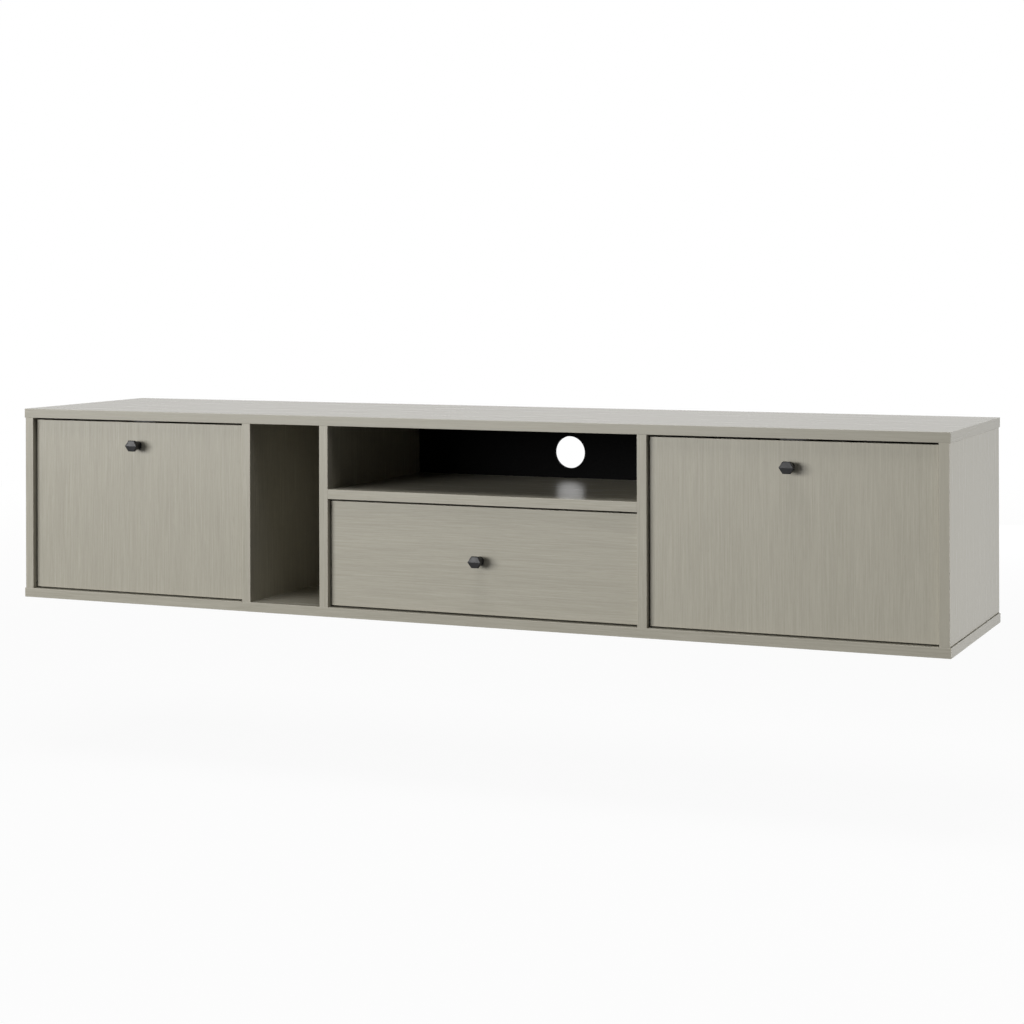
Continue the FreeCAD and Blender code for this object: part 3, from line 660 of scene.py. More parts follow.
# How a cylinder is turned so that it runs along an axis.
TURNS = {
    Axis.X: (0.0, radians(90.0), 0.0),
    Axis.Y: (radians(90.0), 0.0, 0.0),
    Axis.Z: (0.0, 0.0, 0.0),
}


def vector_along(axis: Axis, length: float) -> Vector:
    """A vector along one axis.

    Args:
        axis: The axis.
        length: Its length, negative for the other way.

    Returns:
        The vector.
    """
    made = Vector((0.0, 0.0, 0.0))
    made[axis.value] = length
    return made


def clear_bench() -> None:
    """Leave edit mode and deselect everything."""
    if bpy.context.mode != "OBJECT":
        bpy.ops.object.mode_set(mode="OBJECT")
    bpy.ops.object.select_all(action="DESELECT")


class Blank:
    """One piece on the bench: a primitive in its own place, which is then shaped in edit mode."""

    def __init__(self) -> None:
        """Take up the primitive that was just added."""
        self.piece = bpy.context.object
        bpy.ops.object.transform_apply(location=True, rotation=True, scale=True)

    @classmethod
    def round(cls, radius: float, length: float, centre: Vector, along: Axis, sides: int = 48) -> "Blank":
        """Start from a round bar.

        Args:
            radius: Its radius.
            length: Its length.
            centre: Its middle.
            along: The axis it runs along.
            sides: How many sides stand for the round.

        Returns:
            The blank.
        """
        clear_bench()
        bpy.ops.mesh.primitive_cylinder_add(
            vertices=sides, radius=radius, depth=length, location=centre, rotation=TURNS[along]
        )
        return cls()

    @classmethod
    def square(cls, low: Vector, high: Vector) -> "Blank":
        """Start from a block.

        Args:
            low: Its lowest corner.
            high: Its highest corner.

        Returns:
            The blank.
        """
        clear_bench()
        bpy.ops.mesh.primitive_cube_add(size=1.0, location=(low + high) / 2, scale=high - low)
        return cls()

    def pick(self, part: Part, test: Callable[[Vector, Vector], bool]) -> None:
        """Go to edit mode with the faces or edges that pass a test selected.

        Args:
            part: Faces or edges.
            test: Takes a face's middle and normal, or an edge's middle and run.
        """
        self.lay_down()
        mesh = self.piece.data
        for group in (mesh.vertices, mesh.edges, mesh.polygons):
            group.foreach_set("select", [False] * len(group))
        if part is Part.FACE:
            for face in mesh.polygons:
                face.select = test(face.center, face.normal)
        else:
            for edge in mesh.edges:
                start, end = (mesh.vertices[index].co for index in edge.vertices)
                edge.select = test((start + end) / 2, end - start)
        bpy.context.tool_settings.mesh_select_mode = part.value
        bpy.ops.object.mode_set(mode="EDIT")

    def lay_down(self) -> None:
        """Leave edit mode, with only this piece selected and active."""
        clear_bench()
        self.piece.select_set(True)
        bpy.context.view_layer.objects.active = self.piece

    def pick_all(self) -> None:
        """Select every face."""
        self.pick(Part.FACE, lambda middle, normal: True)

    def pick_end(self, axis: Axis, place: float) -> None:
        """Select the flat faces that lie at one place on an axis.

        Args:
            axis: The axis they are square to.
            place: Where they lie on it.
        """
        self.pick(
            Part.FACE,
            lambda middle, normal: abs(middle[axis.value] - place) < TOUCH
            and abs(normal[axis.value]) > SQUARE,
        )

    def pick_runs(self, axis: Axis, shortest: float) -> None:
        """Select the edges that run straight along an axis.

        Args:
            axis: The axis.
            shortest: The length from which an edge counts.
        """
        others = [other.value for other in Axis if other is not axis]
        self.pick(
            Part.EDGE,
            lambda middle, run: abs(run[axis.value]) > shortest
            and all(abs(run[other]) < TOUCH / 2 for other in others),
        )

    def bevel_rim(self, axis: Axis, place: float, width: float, steps: int) -> None:
        """Round the edges that lie at one place on an axis.

        Args:
            axis: The axis.
            place: Where the edges lie on it.
            width: The bevel's width.
            steps: Its number of segments.
        """
        self.pick(
            Part.EDGE,
            lambda middle, run: abs(middle[axis.value] - place) < TOUCH
            and abs(run[axis.value]) < WELD,
        )
        bpy.ops.mesh.bevel(offset=width, segments=steps)

    def inset(self, width: float, depth: float = 0.0) -> None:
        """Inset the selected faces by a width, and raise them by a depth."""
        bpy.ops.mesh.inset(thickness=width, depth=depth)

    def extrude(self, move: Vector) -> None:
        """Extrude the selected faces by a move."""
        bpy.ops.mesh.extrude_region_move(TRANSFORM_OT_translate={"value": move})

    def resize(self, factors: tuple, about: Vector) -> None:
        """Scale what is selected along X, Y and Z about a point that stays."""
        bpy.ops.transform.resize(value=factors, center_override=about)

    def slice(self, point: Vector, normal: Vector) -> None:
        """Cut off all that lies beyond a plane and close the cut.

        Args:
            point: A point on the plane.
            normal: The way that is cut off.
        """
        self.pick_all()
        bpy.ops.mesh.bisect(
            plane_co=point, plane_no=normal.normalized(), use_fill=True, clear_outer=True, threshold=WELD
        )

    def cut(self, *tools: "Blank") -> None:
        """Take the shapes of other blanks out of this one, and throw them away.

        Args:
            tools: What is taken out.
        """
        for tool in tools:
            tool.lay_down()
            self.lay_down()
            cutter = self.piece.modifiers.new("cut", "BOOLEAN")
            cutter.operation = "DIFFERENCE"
            cutter.solver = "EXACT"
            cutter.object = tool.piece
            bpy.ops.object.modifier_apply(modifier=cutter.name)
            bpy.data.objects.remove(tool.piece)

    def join(self, *others: "Blank") -> None:
        """Take other blanks into this one.

        Args:
            others: The blanks.
        """
        self.lay_down()
        for other in others:
            other.piece.select_set(True)
        bpy.ops.object.join()

    def copy(self, move: Matrix) -> "Blank":
        """Copy this blank with a mesh of its own.

        Args:
            move: Where the copy goes from here.

        Returns:
            The copy.
        """
        self.lay_down()
        bpy.ops.object.duplicate()
        twin = Blank()
        twin.piece.data.transform(move)
        return twin

    def deliver(
        self, name: str, finish: Material, slot: str, body: str, *nodes: str, crease: float = 32.0
    ) -> Object:
        """Clean the piece up, name it, dress it and hang it on its body.

        Args:
            name: The piece's name.
            finish: Its material.
            slot: The record's slot for it; not used.
            body: The CAD body that it moves with.
            nodes: The CAD nodes that it stands for.
            crease: The angle in degrees from which an edge stays sharp.

        Returns:
            The finished object.
        """
        self.pick_all()
        bpy.ops.mesh.remove_doubles(threshold=WELD)
        bpy.ops.mesh.normals_make_consistent(inside=False)
        self.lay_down()
        bpy.ops.object.shade_smooth_by_angle(angle=radians(crease))
        self.piece.name = name
        self.piece.data.name = name
        self.piece.data.materials.clear()
        self.piece.data.materials.append(finish)
        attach(self.piece, body)
        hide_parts(*nodes)
        log.info("%s: %d faces", name, len(self.piece.data.polygons))
        return self.piece


@dataclass(frozen=True)
class Solid:
    """One solid of a CAD node: its corners, its long axis, and its radius at both ends of that axis."""

    low: Vector
    high: Vector
    axis: Axis
    low_radius: float
    high_radius: float

    @property
    def centre(self) -> Vector:
        """The middle of its box."""
        return (self.low + self.high) / 2

    @property
    def length(self) -> float:
        """Its length along its long axis."""
        return (self.high - self.low)[self.axis.value]


def solids_of(node: str) -> list[Solid]:
    """Find the separate solids of a CAD node.

    Args:
        node: The node's name.

    Returns:
        Its solids, in the order of their lowest corners.
    """
    mesh = frame["nodes"][node].data
    owner: dict[tuple, tuple] = {}

    def root(key: tuple) -> tuple:
        """Follow a corner to the one that stands for its solid.

        Args:
            key: The corner.

        Returns:
            The corner that stands for the solid.
        """
        while owner[key] != key:
            owner[key] = owner[owner[key]]
            key = owner[key]
        return key

    keys = [tuple(round(value, 6) for value in vertex.co) for vertex in mesh.vertices]
    for key in keys:
        owner.setdefault(key, key)
    for face in mesh.polygons:
        first, *rest = [keys[index] for index in face.vertices]
        for other in rest:
            owner[root(other)] = root(first)
    groups: dict[tuple, list] = {}
    for key in owner:
        groups.setdefault(root(key), []).append(Vector(key))
    return sorted((measured(points) for points in groups.values()), key=lambda solid: tuple(solid.low))


def measured(points: list) -> Solid:
    """Measure one solid.

    Args:
        points: Its corners.

    Returns:
        The solid.
    """
    low = Vector([min(point[i] for point in points) for i in range(3)])
    high = Vector([max(point[i] for point in points) for i in range(3)])
    axis = max(Axis, key=lambda one: (high - low)[one.value])
    centre, radii = (low + high) / 2, []
    for end in (low[axis.value], high[axis.value]):
        across = [point - centre for point in points if abs(point[axis.value] - end) < TOUCH / 2]
        for arm in across:
            arm[axis.value] = 0.0
        radii.append(max(arm.length for arm in across))
    return Solid(low, high, axis, *radii)


def scatter(
    solids: list[Solid],
    kind: Callable[[Solid], tuple],
    face: Callable[[Solid], Vector],
    make: Callable[[Solid], Blank],
) -> Blank:
    """Model one piece of each kind, copy it to the place of every solid, and join the copies.

    Args:
        solids: The solids that the pieces stand for.
        kind: What tells one kind of solid from another.
        face: Where a solid's face has its middle.
        make: Models a solid's piece with the middle of its face at the origin.

    Returns:
        All the copies as one blank.
    """
    patterns: dict[tuple, Blank] = {}
    copies = []
    for solid in solids:
        own = kind(solid)
        if own not in patterns:
            patterns[own] = make(solid)
        copies.append(patterns[own].copy(Matrix.Translation(face(solid))))
    for pattern in patterns.values():
        bpy.data.objects.remove(pattern.piece)
    copies[0].join(*copies[1:])
    return copies[0]


# ---------------------------------------------------------------- pieces


@dataclass
class Knob:
    """A hexagonal knob with a ridge across its face, on a round stem with a foot."""

    node: str
    body: str
    head_t: float = 0.0075
    ridge: float = 0.0016
    rim: float = 0.0010
    stem_r: float = 0.0079
    neck_from_foot: float = 0.0016
    neck_w: float = 0.0012
    neck_share: float = 0.94
    flat_share: float = 0.8660254  # a hexagon's height as a share of its width
    corner_r: float = 0.0004
    back_r: float = 0.0005
    foot_r: float = 0.0003
    shortest_side: float = 0.003  # from this length an edge counts as one between two sides
    play: float = 1.01  # how much further than the ridge's slopes an edge is looked for

    def build(self, finish: Material) -> Object:
        """Model the knob where its node is.

        Args:
            finish: Its coat.

        Returns:
            The knob.
        """
        low, high = corners(self.node)
        front = Vector(((low.x + high.x) / 2, low.y, (low.z + high.z) / 2))
        knob = self.head(front, high - low)
        knob.join(self.stem(front, high.y))
        return knob.deliver(self.node + "_detail", finish, "black_metal", self.body, self.node, crease=14.0)

    def head(self, front: Vector, size: Vector) -> Blank:
        """The head: a hexagon with two sloping faces and a bevelled rim.

        Args:
            front: The middle of its ridge.
            size: The knob's width, reach and height.

        Returns:
            The head.
        """
        half_w, half_h = size.x / 2, size.z / 2
        middle = front + vector_along(Axis.Y, self.head_t / 2)
        clear_bench()
        turn = (radians(90.0), radians(30.0), 0.0)
        bpy.ops.mesh.primitive_cylinder_add(
            vertices=6, radius=half_w, depth=self.head_t, location=middle, rotation=turn
        )
        head = Blank()
        head.pick_all()
        head.resize((1.0, 1.0, half_h / (half_w * self.flat_share)), middle)
        for way in (-1, 1):
            head.slice(front, Vector((0.0, -half_h, way * self.ridge)))
        head.pick(
            Part.EDGE,
            lambda centre, run: centre.y < front.y + self.ridge * self.play
            and (centre - front).length > half_h / 2
            and abs(run.y) < self.ridge * self.play,
        )
        bpy.ops.mesh.bevel(offset=self.rim, segments=2, profile=0.5)
        head.pick_runs(Axis.Y, self.shortest_side)
        bpy.ops.mesh.bevel(offset=self.corner_r, segments=2)
        head.bevel_rim(Axis.Y, front.y + self.head_t, self.back_r, 2)
        return head

    def stem(self, front: Vector, foot_y: float) -> Blank:
        """The stem, with a shallow neck turned in near its foot.

        Args:
            front: The middle of the head's ridge.
            foot_y: Where the foot stands on the front.

        Returns:
            The stem.
        """
        start = front.y + self.head_t
        middle = Vector((front.x, (start + foot_y) / 2, front.z))
        stem = Blank.round(self.stem_r, foot_y - start, middle, Axis.Y)
        for place in (foot_y - self.neck_from_foot, foot_y - self.neck_from_foot - self.neck_w):
            stem.pick_all()
            bpy.ops.mesh.bisect(plane_co=(front.x, place, front.z), plane_no=(0, 1, 0), threshold=WELD)
        neck_y = foot_y - self.neck_from_foot - self.neck_w / 2
        near = self.neck_w / 4
        stem.pick(Part.FACE, lambda centre, normal: abs(centre.y - neck_y) < near and abs(normal.y) < LEVEL)
        stem.extrude(Vector((0.0, 0.0, 0.0)))
        stem.resize((self.neck_share, 1.0, self.neck_share), Vector((front.x, neck_y, front.z)))
        stem.bevel_rim(Axis.Y, foot_y, self.foot_r, 2)
        return stem


# Half an arm's width as a share of the cross's reach, and how much of the cross is left at its floor.
CROSS_ARM = 0.24
CROSS_TAPER = 0.45


def cross_recess(head: Vector, axis: Axis, way: float, reach: float, depth: float) -> Blank:
    """The tapered cross that a driver fits, as a shape to take out of a screw's head.

    Args:
        head: The middle of the head's face.
        axis: The screw's axis.
        way: 1 if the screw points along the axis, -1 if against it.
        reach: From the middle to the end of one arm.
        depth: How deep it goes.

    Returns:
        The cross.
    """
    others = [other for other in Axis if other is not axis]
    arm = reach * CROSS_ARM
    half = vector_along(axis, depth)
    for other in others:
        half += vector_along(other, arm)
    cross = Blank.square(head - half, head + half)
    for other in others:
        for side in (-1, 1):
            spot = head + vector_along(other, side * arm)
            cross.pick(Part.FACE, lambda middle, normal: (middle - spot).length < arm / 2)
            cross.extrude(vector_along(other, side * (reach - arm)))
    floor = head[axis.value] + way * depth
    cross.pick_end(axis, floor)
    factors = [CROSS_TAPER] * 3
    factors[axis.value] = 1.0
    about = head.copy()
    about[axis.value] = floor
    cross.resize(tuple(factors), about)
    return cross


@dataclass
class CountersunkScrews:
    """The countersunk cross-recess screws of one CAD node, each where its solid is."""

    node: str
    body: str
    sides: int = 28
    recess_share: float = 0.58
    recess_depth: float = 0.0012
    tip_share: float = 1.5
    point: float = 0.3
    head_edge: float = 0.00015

    def build(self, finish: Material) -> Object:
        """Model the screws where their solids are.

        Args:
            finish: Their metal.

        Returns:
            The screws.
        """
        screws = scatter(solids_of(self.node), self.kind, self.face, self.screw)
        return screws.deliver(self.node + "_detail", finish, "bright_steel", self.body, self.node)

    def kind(self, solid: Solid) -> tuple:
        """What tells one size or way of screw from another."""
        radii = sorted((solid.low_radius, solid.high_radius))
        return (solid.axis, self.way(solid), *(round(value, 5) for value in (*radii, solid.length)))

    def way(self, solid: Solid) -> int:
        """1 if a screw points along its axis, -1 if against it."""
        return -1 if solid.high_radius > solid.low_radius else 1

    def face(self, solid: Solid) -> Vector:
        """Where a screw's head shows.

        Args:
            solid: The screw's solid.

        Returns:
            The middle of its face.
        """
        face = solid.centre
        face[solid.axis.value] = (solid.high if self.way(solid) < 0 else solid.low)[solid.axis.value]
        return face

    def screw(self, solid: Solid) -> Blank:
        """One screw with the middle of its head's face at the origin."""
        shank_r, head_r = sorted((solid.low_radius, solid.high_radius))
        return self.pattern(solid.axis, self.way(solid), head_r, shank_r, solid.length)

    def pattern(self, axis: Axis, way: float, head_r: float, shank_r: float, length: float) -> Blank:
        """One screw with the middle of its head's face at the origin.

        Args:
            axis: The axis it runs along.
            way: 1 if it points along the axis, -1 if against it.
            head_r: The head's radius.
            shank_r: The shank's radius.
            length: The whole length.

        Returns:
            The screw.
        """
        neck = head_r - shank_r
        screw = Blank.round(head_r, neck, vector_along(axis, way * neck / 2), axis, self.sides)
        factors = [shank_r / head_r] * 3
        factors[axis.value] = 1.0
        screw.pick_end(axis, way * neck)
        screw.resize(tuple(factors), vector_along(axis, way * neck))
        tip = shank_r * self.tip_share
        screw.extrude(vector_along(axis, way * (length - neck - tip)))
        screw.extrude(vector_along(axis, way * tip))
        narrowed = tuple(self.point if value < 1.0 else 1.0 for value in factors)
        screw.resize(narrowed, vector_along(axis, way * length))
        screw.bevel_rim(axis, 0.0, self.head_edge, 1)
        head = Vector((0.0, 0.0, 0.0))
        screw.cut(cross_recess(head, axis, way, head_r * self.recess_share, self.recess_depth))
        return screw


@dataclass
class KnobScrew:
    """The machine screw behind a knob: a domed head with a cross recess, and its shank."""

    node: str
    body: str
    head_t: float = 0.0026
    shank_r: float = 0.0020
    recess_reach: float = 0.0024
    recess_depth: float = 0.0014
    dome_share: float = 0.45
    tip_r: float = 0.0004
    sides: int = 40
    shank_sides: int = 20

    def build(self, finish: Material) -> Object:
        """Model the screw where its node is.

        Args:
            finish: Its metal.

        Returns:
            The screw.
        """
        low, high = corners(self.node)
        back = Vector(((low.x + high.x) / 2, high.y, (low.z + high.z) / 2))
        head_r = (high.x - low.x) / 2
        middle = back - vector_along(Axis.Y, self.head_t / 2)
        head = Blank.round(head_r, self.head_t, middle, Axis.Y, self.sides)
        head.bevel_rim(Axis.Y, back.y, self.head_t * self.dome_share, 4)
        head.cut(cross_recess(back, Axis.Y, -1, self.recess_reach, self.recess_depth))
        shank_len = high.y - self.head_t - low.y
        middle = Vector((back.x, low.y + shank_len / 2, back.z))
        shank = Blank.round(self.shank_r, shank_len, middle, Axis.Y, self.shank_sides)
        shank.bevel_rim(Axis.Y, low.y, self.tip_r, 1)
        head.join(shank)
        return head.deliver(self.node + "_detail", finish, "bright_steel", self.body, self.node)


# The boards that hold the cams, and how far a cam may stand out of its board.
UPRIGHTS = ("left_side_panel", "left_divider", "niche_divider", "right_divider", "right_side_panel")
BOARD_PLAY = 0.0001


@dataclass
class CamLocks:
    """The cams in the uprights: a rimmed disc with a driver's cross, bored for its bolt."""

    node: str = "cam_locks"
    body: str = "cabinet"
    rim_w: float = 0.0011
    rim_drop: float = 0.0005
    cross_reach: float = 0.0040
    cross_depth: float = 0.0022
    bore_r: float = 0.0036
    bore_share: float = 0.68  # how deep the bore's middle lies, as a share of the cam's depth
    edge_r: float = 0.0004
    sides: int = 40
    bore_sides: int = 24

    def build(self, finish: Material) -> Object:
        """Model the cams where their solids are.

        Args:
            finish: Their metal.

        Returns:
            The cams.
        """
        cams = scatter(solids_of(self.node), lambda solid: (self.way_out(solid),), self.face, self.cam)
        return cams.deliver(self.node + "_detail", finish, "cast_zinc", self.body, self.node)

    def face(self, solid: Solid) -> Vector:
        """Where a cam shows.

        Args:
            solid: The cam's solid.

        Returns:
            The middle of its face.
        """
        face = solid.centre
        face.x = solid.high.x if self.way_out(solid) > 0 else solid.low.x
        return face

    def way_out(self, solid: Solid) -> int:
        """Which way a cam's face looks: away from the board's far side.

        Args:
            solid: The cam.

        Returns:
            1 if it looks along X, -1 if against it.
        """
        for low, high in map(corners, UPRIGHTS):
            if low.x - BOARD_PLAY < solid.low.x and solid.high.x < high.x + BOARD_PLAY:
                return 1 if high.x - solid.high.x < solid.low.x - low.x else -1
        return 1

    def cam(self, solid: Solid) -> Blank:
        """One cam with the middle of its face at the origin.

        Args:
            solid: The cam's solid.

        Returns:
            The cam.
        """
        way = self.way_out(solid)
        radius, depth = (solid.high.z - solid.low.z) / 2, solid.high.x - solid.low.x
        cam = Blank.round(radius, depth, vector_along(Axis.X, -way * depth / 2), Axis.X, self.sides)
        cam.bevel_rim(Axis.X, 0.0, self.edge_r, 2)
        cam.pick_end(Axis.X, 0.0)
        cam.inset(self.rim_w)
        cam.extrude(vector_along(Axis.X, -way * self.rim_drop))
        floor = vector_along(Axis.X, -way * self.rim_drop)
        middle = vector_along(Axis.X, -way * depth * self.bore_share)
        cross = cross_recess(floor, Axis.X, -way, self.cross_reach, self.cross_depth)
        cam.cut(cross, Blank.round(self.bore_r, 4 * radius, middle, Axis.Z, self.bore_sides))
        return cam


@dataclass
class StrikePlate:
    """The steel plate that a catch holds: rounded corners and two dimpled screws."""

    node: str
    body: str
    corner_r: float = 0.0025
    screw_inset: float = 0.0065
    screw_r: float = 0.0026
    screw_play: float = 0.0002
    screw_set: float = 0.0001  # the screw's face below the plate's
    recess_share: float = 0.6
    screw_t: float = 0.0006
    dimple: float = 0.0004
    edge_r: float = 0.0002
    sides: int = 28

    def build(self, finish: Material) -> Object:
        """Model the plate where its node is.

        Args:
            finish: Its metal.

        Returns:
            The plate.
        """
        low, high = corners(self.node)
        plate = Blank.square(low, high)
        plate.pick_runs(Axis.Y, TOUCH)
        bpy.ops.mesh.bevel(offset=self.corner_r, segments=5)
        plate.bevel_rim(Axis.Y, high.y, self.edge_r, 2)
        middle_z = (low.z + high.z) / 2
        for x in (low.x + self.screw_inset, high.x - self.screw_inset):
            face = Vector((x, high.y, middle_z))
            plate.cut(Blank.round(self.screw_r, 2 * self.dimple, face, Axis.Y, self.sides))
            middle = face - vector_along(Axis.Y, self.screw_set + self.screw_t / 2)
            head = Blank.round(self.screw_r - self.screw_play, self.screw_t, middle, Axis.Y, self.sides)
            top = face - vector_along(Axis.Y, self.screw_set)
            head.cut(cross_recess(top, Axis.Y, -1, self.screw_r * self.recess_share, self.dimple))
            plate.join(head)
        return plate.deliver(self.node + "_detail", finish, "bright_steel", self.body, self.node)


@dataclass
class MagneticCatch:
    """A magnetic catch: a housing with grooved ears, and a magnet between two steel poles in its mouth."""

    side: str
    solid: Solid
    proud: float = 0.0010
    magnet_w: float = 0.0300
    floor_t: float = 0.0020
    cover_t: float = 0.0040
    pole_t: float = 0.0012
    magnet_set_back: float = 0.0006
    corner_r: float = 0.0020
    edge_r: float = 0.0007
    overcut: float = 0.002
    ribs: int = 3
    rib_w: float = 0.0010
    rib_drop: float = 0.0007
    rib_gap: float = 0.0008
    rib_inset: float = 0.003
    screw_inset: float = 0.0040
    screw_r: float = 0.0028
    shank_r: float = 0.0013
    screw_play: float = 0.0002
    screw_sink: float = 0.0008
    pole_r: float = 0.0002
    magnet_play: float = 0.0006
    magnet_r: float = 0.0004

    def build(self, plastic: Material, steel: Material, magnet: Material) -> None:
        """Model the catch where its solids are.

        Args:
            plastic: The housing's finish.
            steel: The poles' finish.
            magnet: The magnet's finish.
        """
        for name, model, finish, slot in (
            ("housing", self.body_piece, plastic, "dark_plastic"),
            ("poles", self.poles, steel, "bright_steel"),
            ("magnet", self.block, magnet, "dark_plastic"),
        ):
            model().deliver(f"{self.side}_catch_{name}", finish, slot, "cabinet", "magnetic_catches")

    @property
    def housing(self) -> tuple[Vector, Vector]:
        """The housing's lowest and highest corners."""
        return self.solid.low + vector_along(Axis.Y, self.proud), self.solid.high

    @property
    def mouth(self) -> tuple[Vector, Vector]:
        """The room for the magnet and its poles.

        Returns:
            Its lowest and highest corners.
        """
        low, high, middle = self.solid.low, self.solid.high, self.solid.centre.x
        return (
            Vector((middle - self.magnet_w / 2, low.y, low.z + self.floor_t)),
            Vector((middle + self.magnet_w / 2, high.y - self.cover_t, high.z - self.cover_t)),
        )

    def body_piece(self) -> Blank:
        """The housing, with a mouth for the magnet, grooves and a screw in each ear.

        Returns:
            The housing.
        """
        low, high = self.housing
        mouth_low, mouth_high = self.mouth
        body = Blank.square(low, high)
        body.pick_runs(Axis.Z, TOUCH)
        bpy.ops.mesh.bevel(offset=self.corner_r, segments=5)
        body.bevel_rim(Axis.Z, low.z, self.edge_r, 3)
        body.cut(Blank.square(mouth_low - vector_along(Axis.Y, self.overcut), mouth_high))
        start = Vector((-self.rib_w / 2, low.y + self.rib_inset, low.z - self.rib_w))
        end = Vector((self.rib_w / 2, high.y - self.rib_inset, low.z + self.rib_drop))
        for edge, way in ((low.x, 1), (high.x, -1)):
            for step in range(self.ribs):
                x = edge + way * (self.screw_inset + self.screw_r + self.rib_gap + step * 2 * self.rib_w)
                body.cut(Blank.square(start + vector_along(Axis.X, x), end + vector_along(Axis.X, x)))
        screws = CountersunkScrews("magnetic_catches", "cabinet")
        for x in (low.x + self.screw_inset, high.x - self.screw_inset):
            face = Vector((x, (low.y + high.y) / 2, low.z))
            sink_r = self.screw_r + self.screw_play
            body.cut(Blank.round(sink_r, self.screw_sink, face, Axis.Z, screws.sides))
            screw = screws.pattern(Axis.Z, 1, self.screw_r, self.shank_r, high.z - low.z)
            screw.piece.data.transform(Matrix.Translation(face + vector_along(Axis.Z, self.screw_play)))
            body.join(screw)
        return body

    def poles(self) -> Blank:
        """The two steel plates above and below the magnet.

        Returns:
            Both plates as one blank.
        """
        low, high = self.mouth
        plates = []
        for z in (low.z, high.z - self.pole_t):
            plate = Blank.square(Vector((low.x, low.y, z)), Vector((high.x, high.y, z + self.pole_t)))
            plate.bevel_rim(Axis.Y, low.y, self.pole_r, 2)
            plates.append(plate)
        plates[0].join(plates[1])
        return plates[0]

    def block(self) -> Blank:
        """The magnet between its poles.

        Returns:
            The magnet.
        """
        low, high = self.mouth
        start = low + Vector((self.magnet_play, self.magnet_set_back, self.pole_t))
        block = Blank.square(start, high - Vector((self.magnet_play, 0.0, self.pole_t)))
        block.bevel_rim(Axis.Y, start.y, self.magnet_r, 2)
        return block


@dataclass
class StayBrake:
    """The brake of a flap's stay: a ribbed drum with a slotted adjuster, bored for the rod."""

    side: str
    inward: int
    rod_bore: float = 0.0038
    eye_r: float = 0.0060
    rim: float = 0.0012
    cap_inset: float = 0.0028
    cap_drop: float = 0.0006
    cap_step: float = 0.0004
    adjuster_r: float = 0.0042
    adjuster_t: float = 0.0010
    adjuster_rise: float = 0.0002  # how far it stands out of the cap
    adjuster_play: float = 0.0002
    adjuster_bore: float = 0.0016
    slot_w: float = 0.0016
    slot_l: float = 0.0072
    slot_h: float = 0.0014
    ribs: int = 36
    rib_inset: float = 0.0001
    rib_drop: float = 0.0004
    bore_l: float = 0.08
    sides: int = 36

    def build(self, plastic: Material, steel: Material) -> None:
        """Model the brake where its node is.

        Args:
            plastic: The drum's finish.
            steel: The adjuster's finish.
        """
        node = self.side + "_stay_brake"
        low, high = corners(node)
        centre, radius, depth = (low + high) / 2, (high.z - low.z) / 2, high.x - low.x
        cap_x = high.x if self.inward > 0 else low.x
        drum = Blank.round(radius, depth, centre, Axis.X, 2 * self.ribs)
        drum.bevel_rim(Axis.X, low.x, self.rim, 3)
        drum.bevel_rim(Axis.X, high.x, self.rim, 3)
        drum.pick_end(Axis.X, cap_x)
        drum.inset(self.cap_inset)
        drum.extrude(vector_along(Axis.X, -self.inward * self.cap_drop))
        drum.inset(self.cap_step)
        self.rib(drum, centre, depth)
        cap = Vector((cap_x - self.inward * self.cap_drop, centre.y, centre.z))
        seat = Blank.round(self.adjuster_r, self.adjuster_bore, cap, Axis.X, self.sides)
        drum.cut(self.bore(centre), seat)
        drum.deliver(node + "_drum", plastic, "dark_plastic", node, node)
        face = cap + vector_along(Axis.X, self.inward * self.adjuster_rise)
        middle = face - vector_along(Axis.X, self.inward * self.adjuster_t / 2)
        inner_r = self.adjuster_r - self.adjuster_play
        adjuster = Blank.round(inner_r, self.adjuster_t, middle, Axis.X, self.sides)
        adjuster.bevel_rim(Axis.X, face.x, self.adjuster_rise, 2)
        slot = Vector((self.slot_w, self.slot_l, self.slot_h)) / 2
        adjuster.cut(Blank.square(face - slot, face + slot))
        adjuster.deliver(node + "_adjuster", steel, "bright_steel", node, node)

    def rib(self, drum: Blank, centre: Vector, depth: float) -> None:
        """Cut grip ribs round the drum.

        Args:
            drum: The drum.
            centre: Its middle.
            depth: Its depth.
        """
        step = radians(360.0) / (2 * self.ribs)

        def on_rib(middle: Vector, normal: Vector) -> bool:
            """Pick every second face round the drum's side.

            Args:
                middle: The face's middle.
                normal: Its normal.

            Returns:
                Whether it is one of them.
            """
            arm = Vector((middle.z - centre.z, middle.y - centre.y))
            on_side = abs(normal.x) < LEVEL and abs(middle.x - centre.x) < depth / 10
            return on_side and round(Vector((1.0, 0.0)).angle(arm) / step - 0.5) % 2 == 0

        drum.pick(Part.FACE, on_rib)
        bpy.ops.mesh.inset(thickness=self.rib_inset, depth=-self.rib_drop, use_individual=True)

    def bore(self, centre: Vector) -> Blank:
        """The rod's way through the drum.

        Args:
            centre: The drum's middle.

        Returns:
            The bar to take out.
        """
        low, high = corners(self.side + "_stay_bracket")
        rod_low, rod_high = corners(self.side + "_stay_rod")
        pivot = Vector(((rod_low.x + rod_high.x) / 2, high.y - self.eye_r, (low.z + high.z) / 2))
        through = Vector((pivot.x, centre.y, centre.z))
        run = through - pivot
        bore = Blank.round(self.rod_bore, self.bore_l, Vector((0.0, 0.0, 0.0)), Axis.Z, self.sides)
        turn = run.to_track_quat("Z", "X").to_matrix().to_4x4()
        bore.piece.data.transform(Matrix.Translation(through) @ turn)
        return bore


# ---------------------------------------------------------------- studio


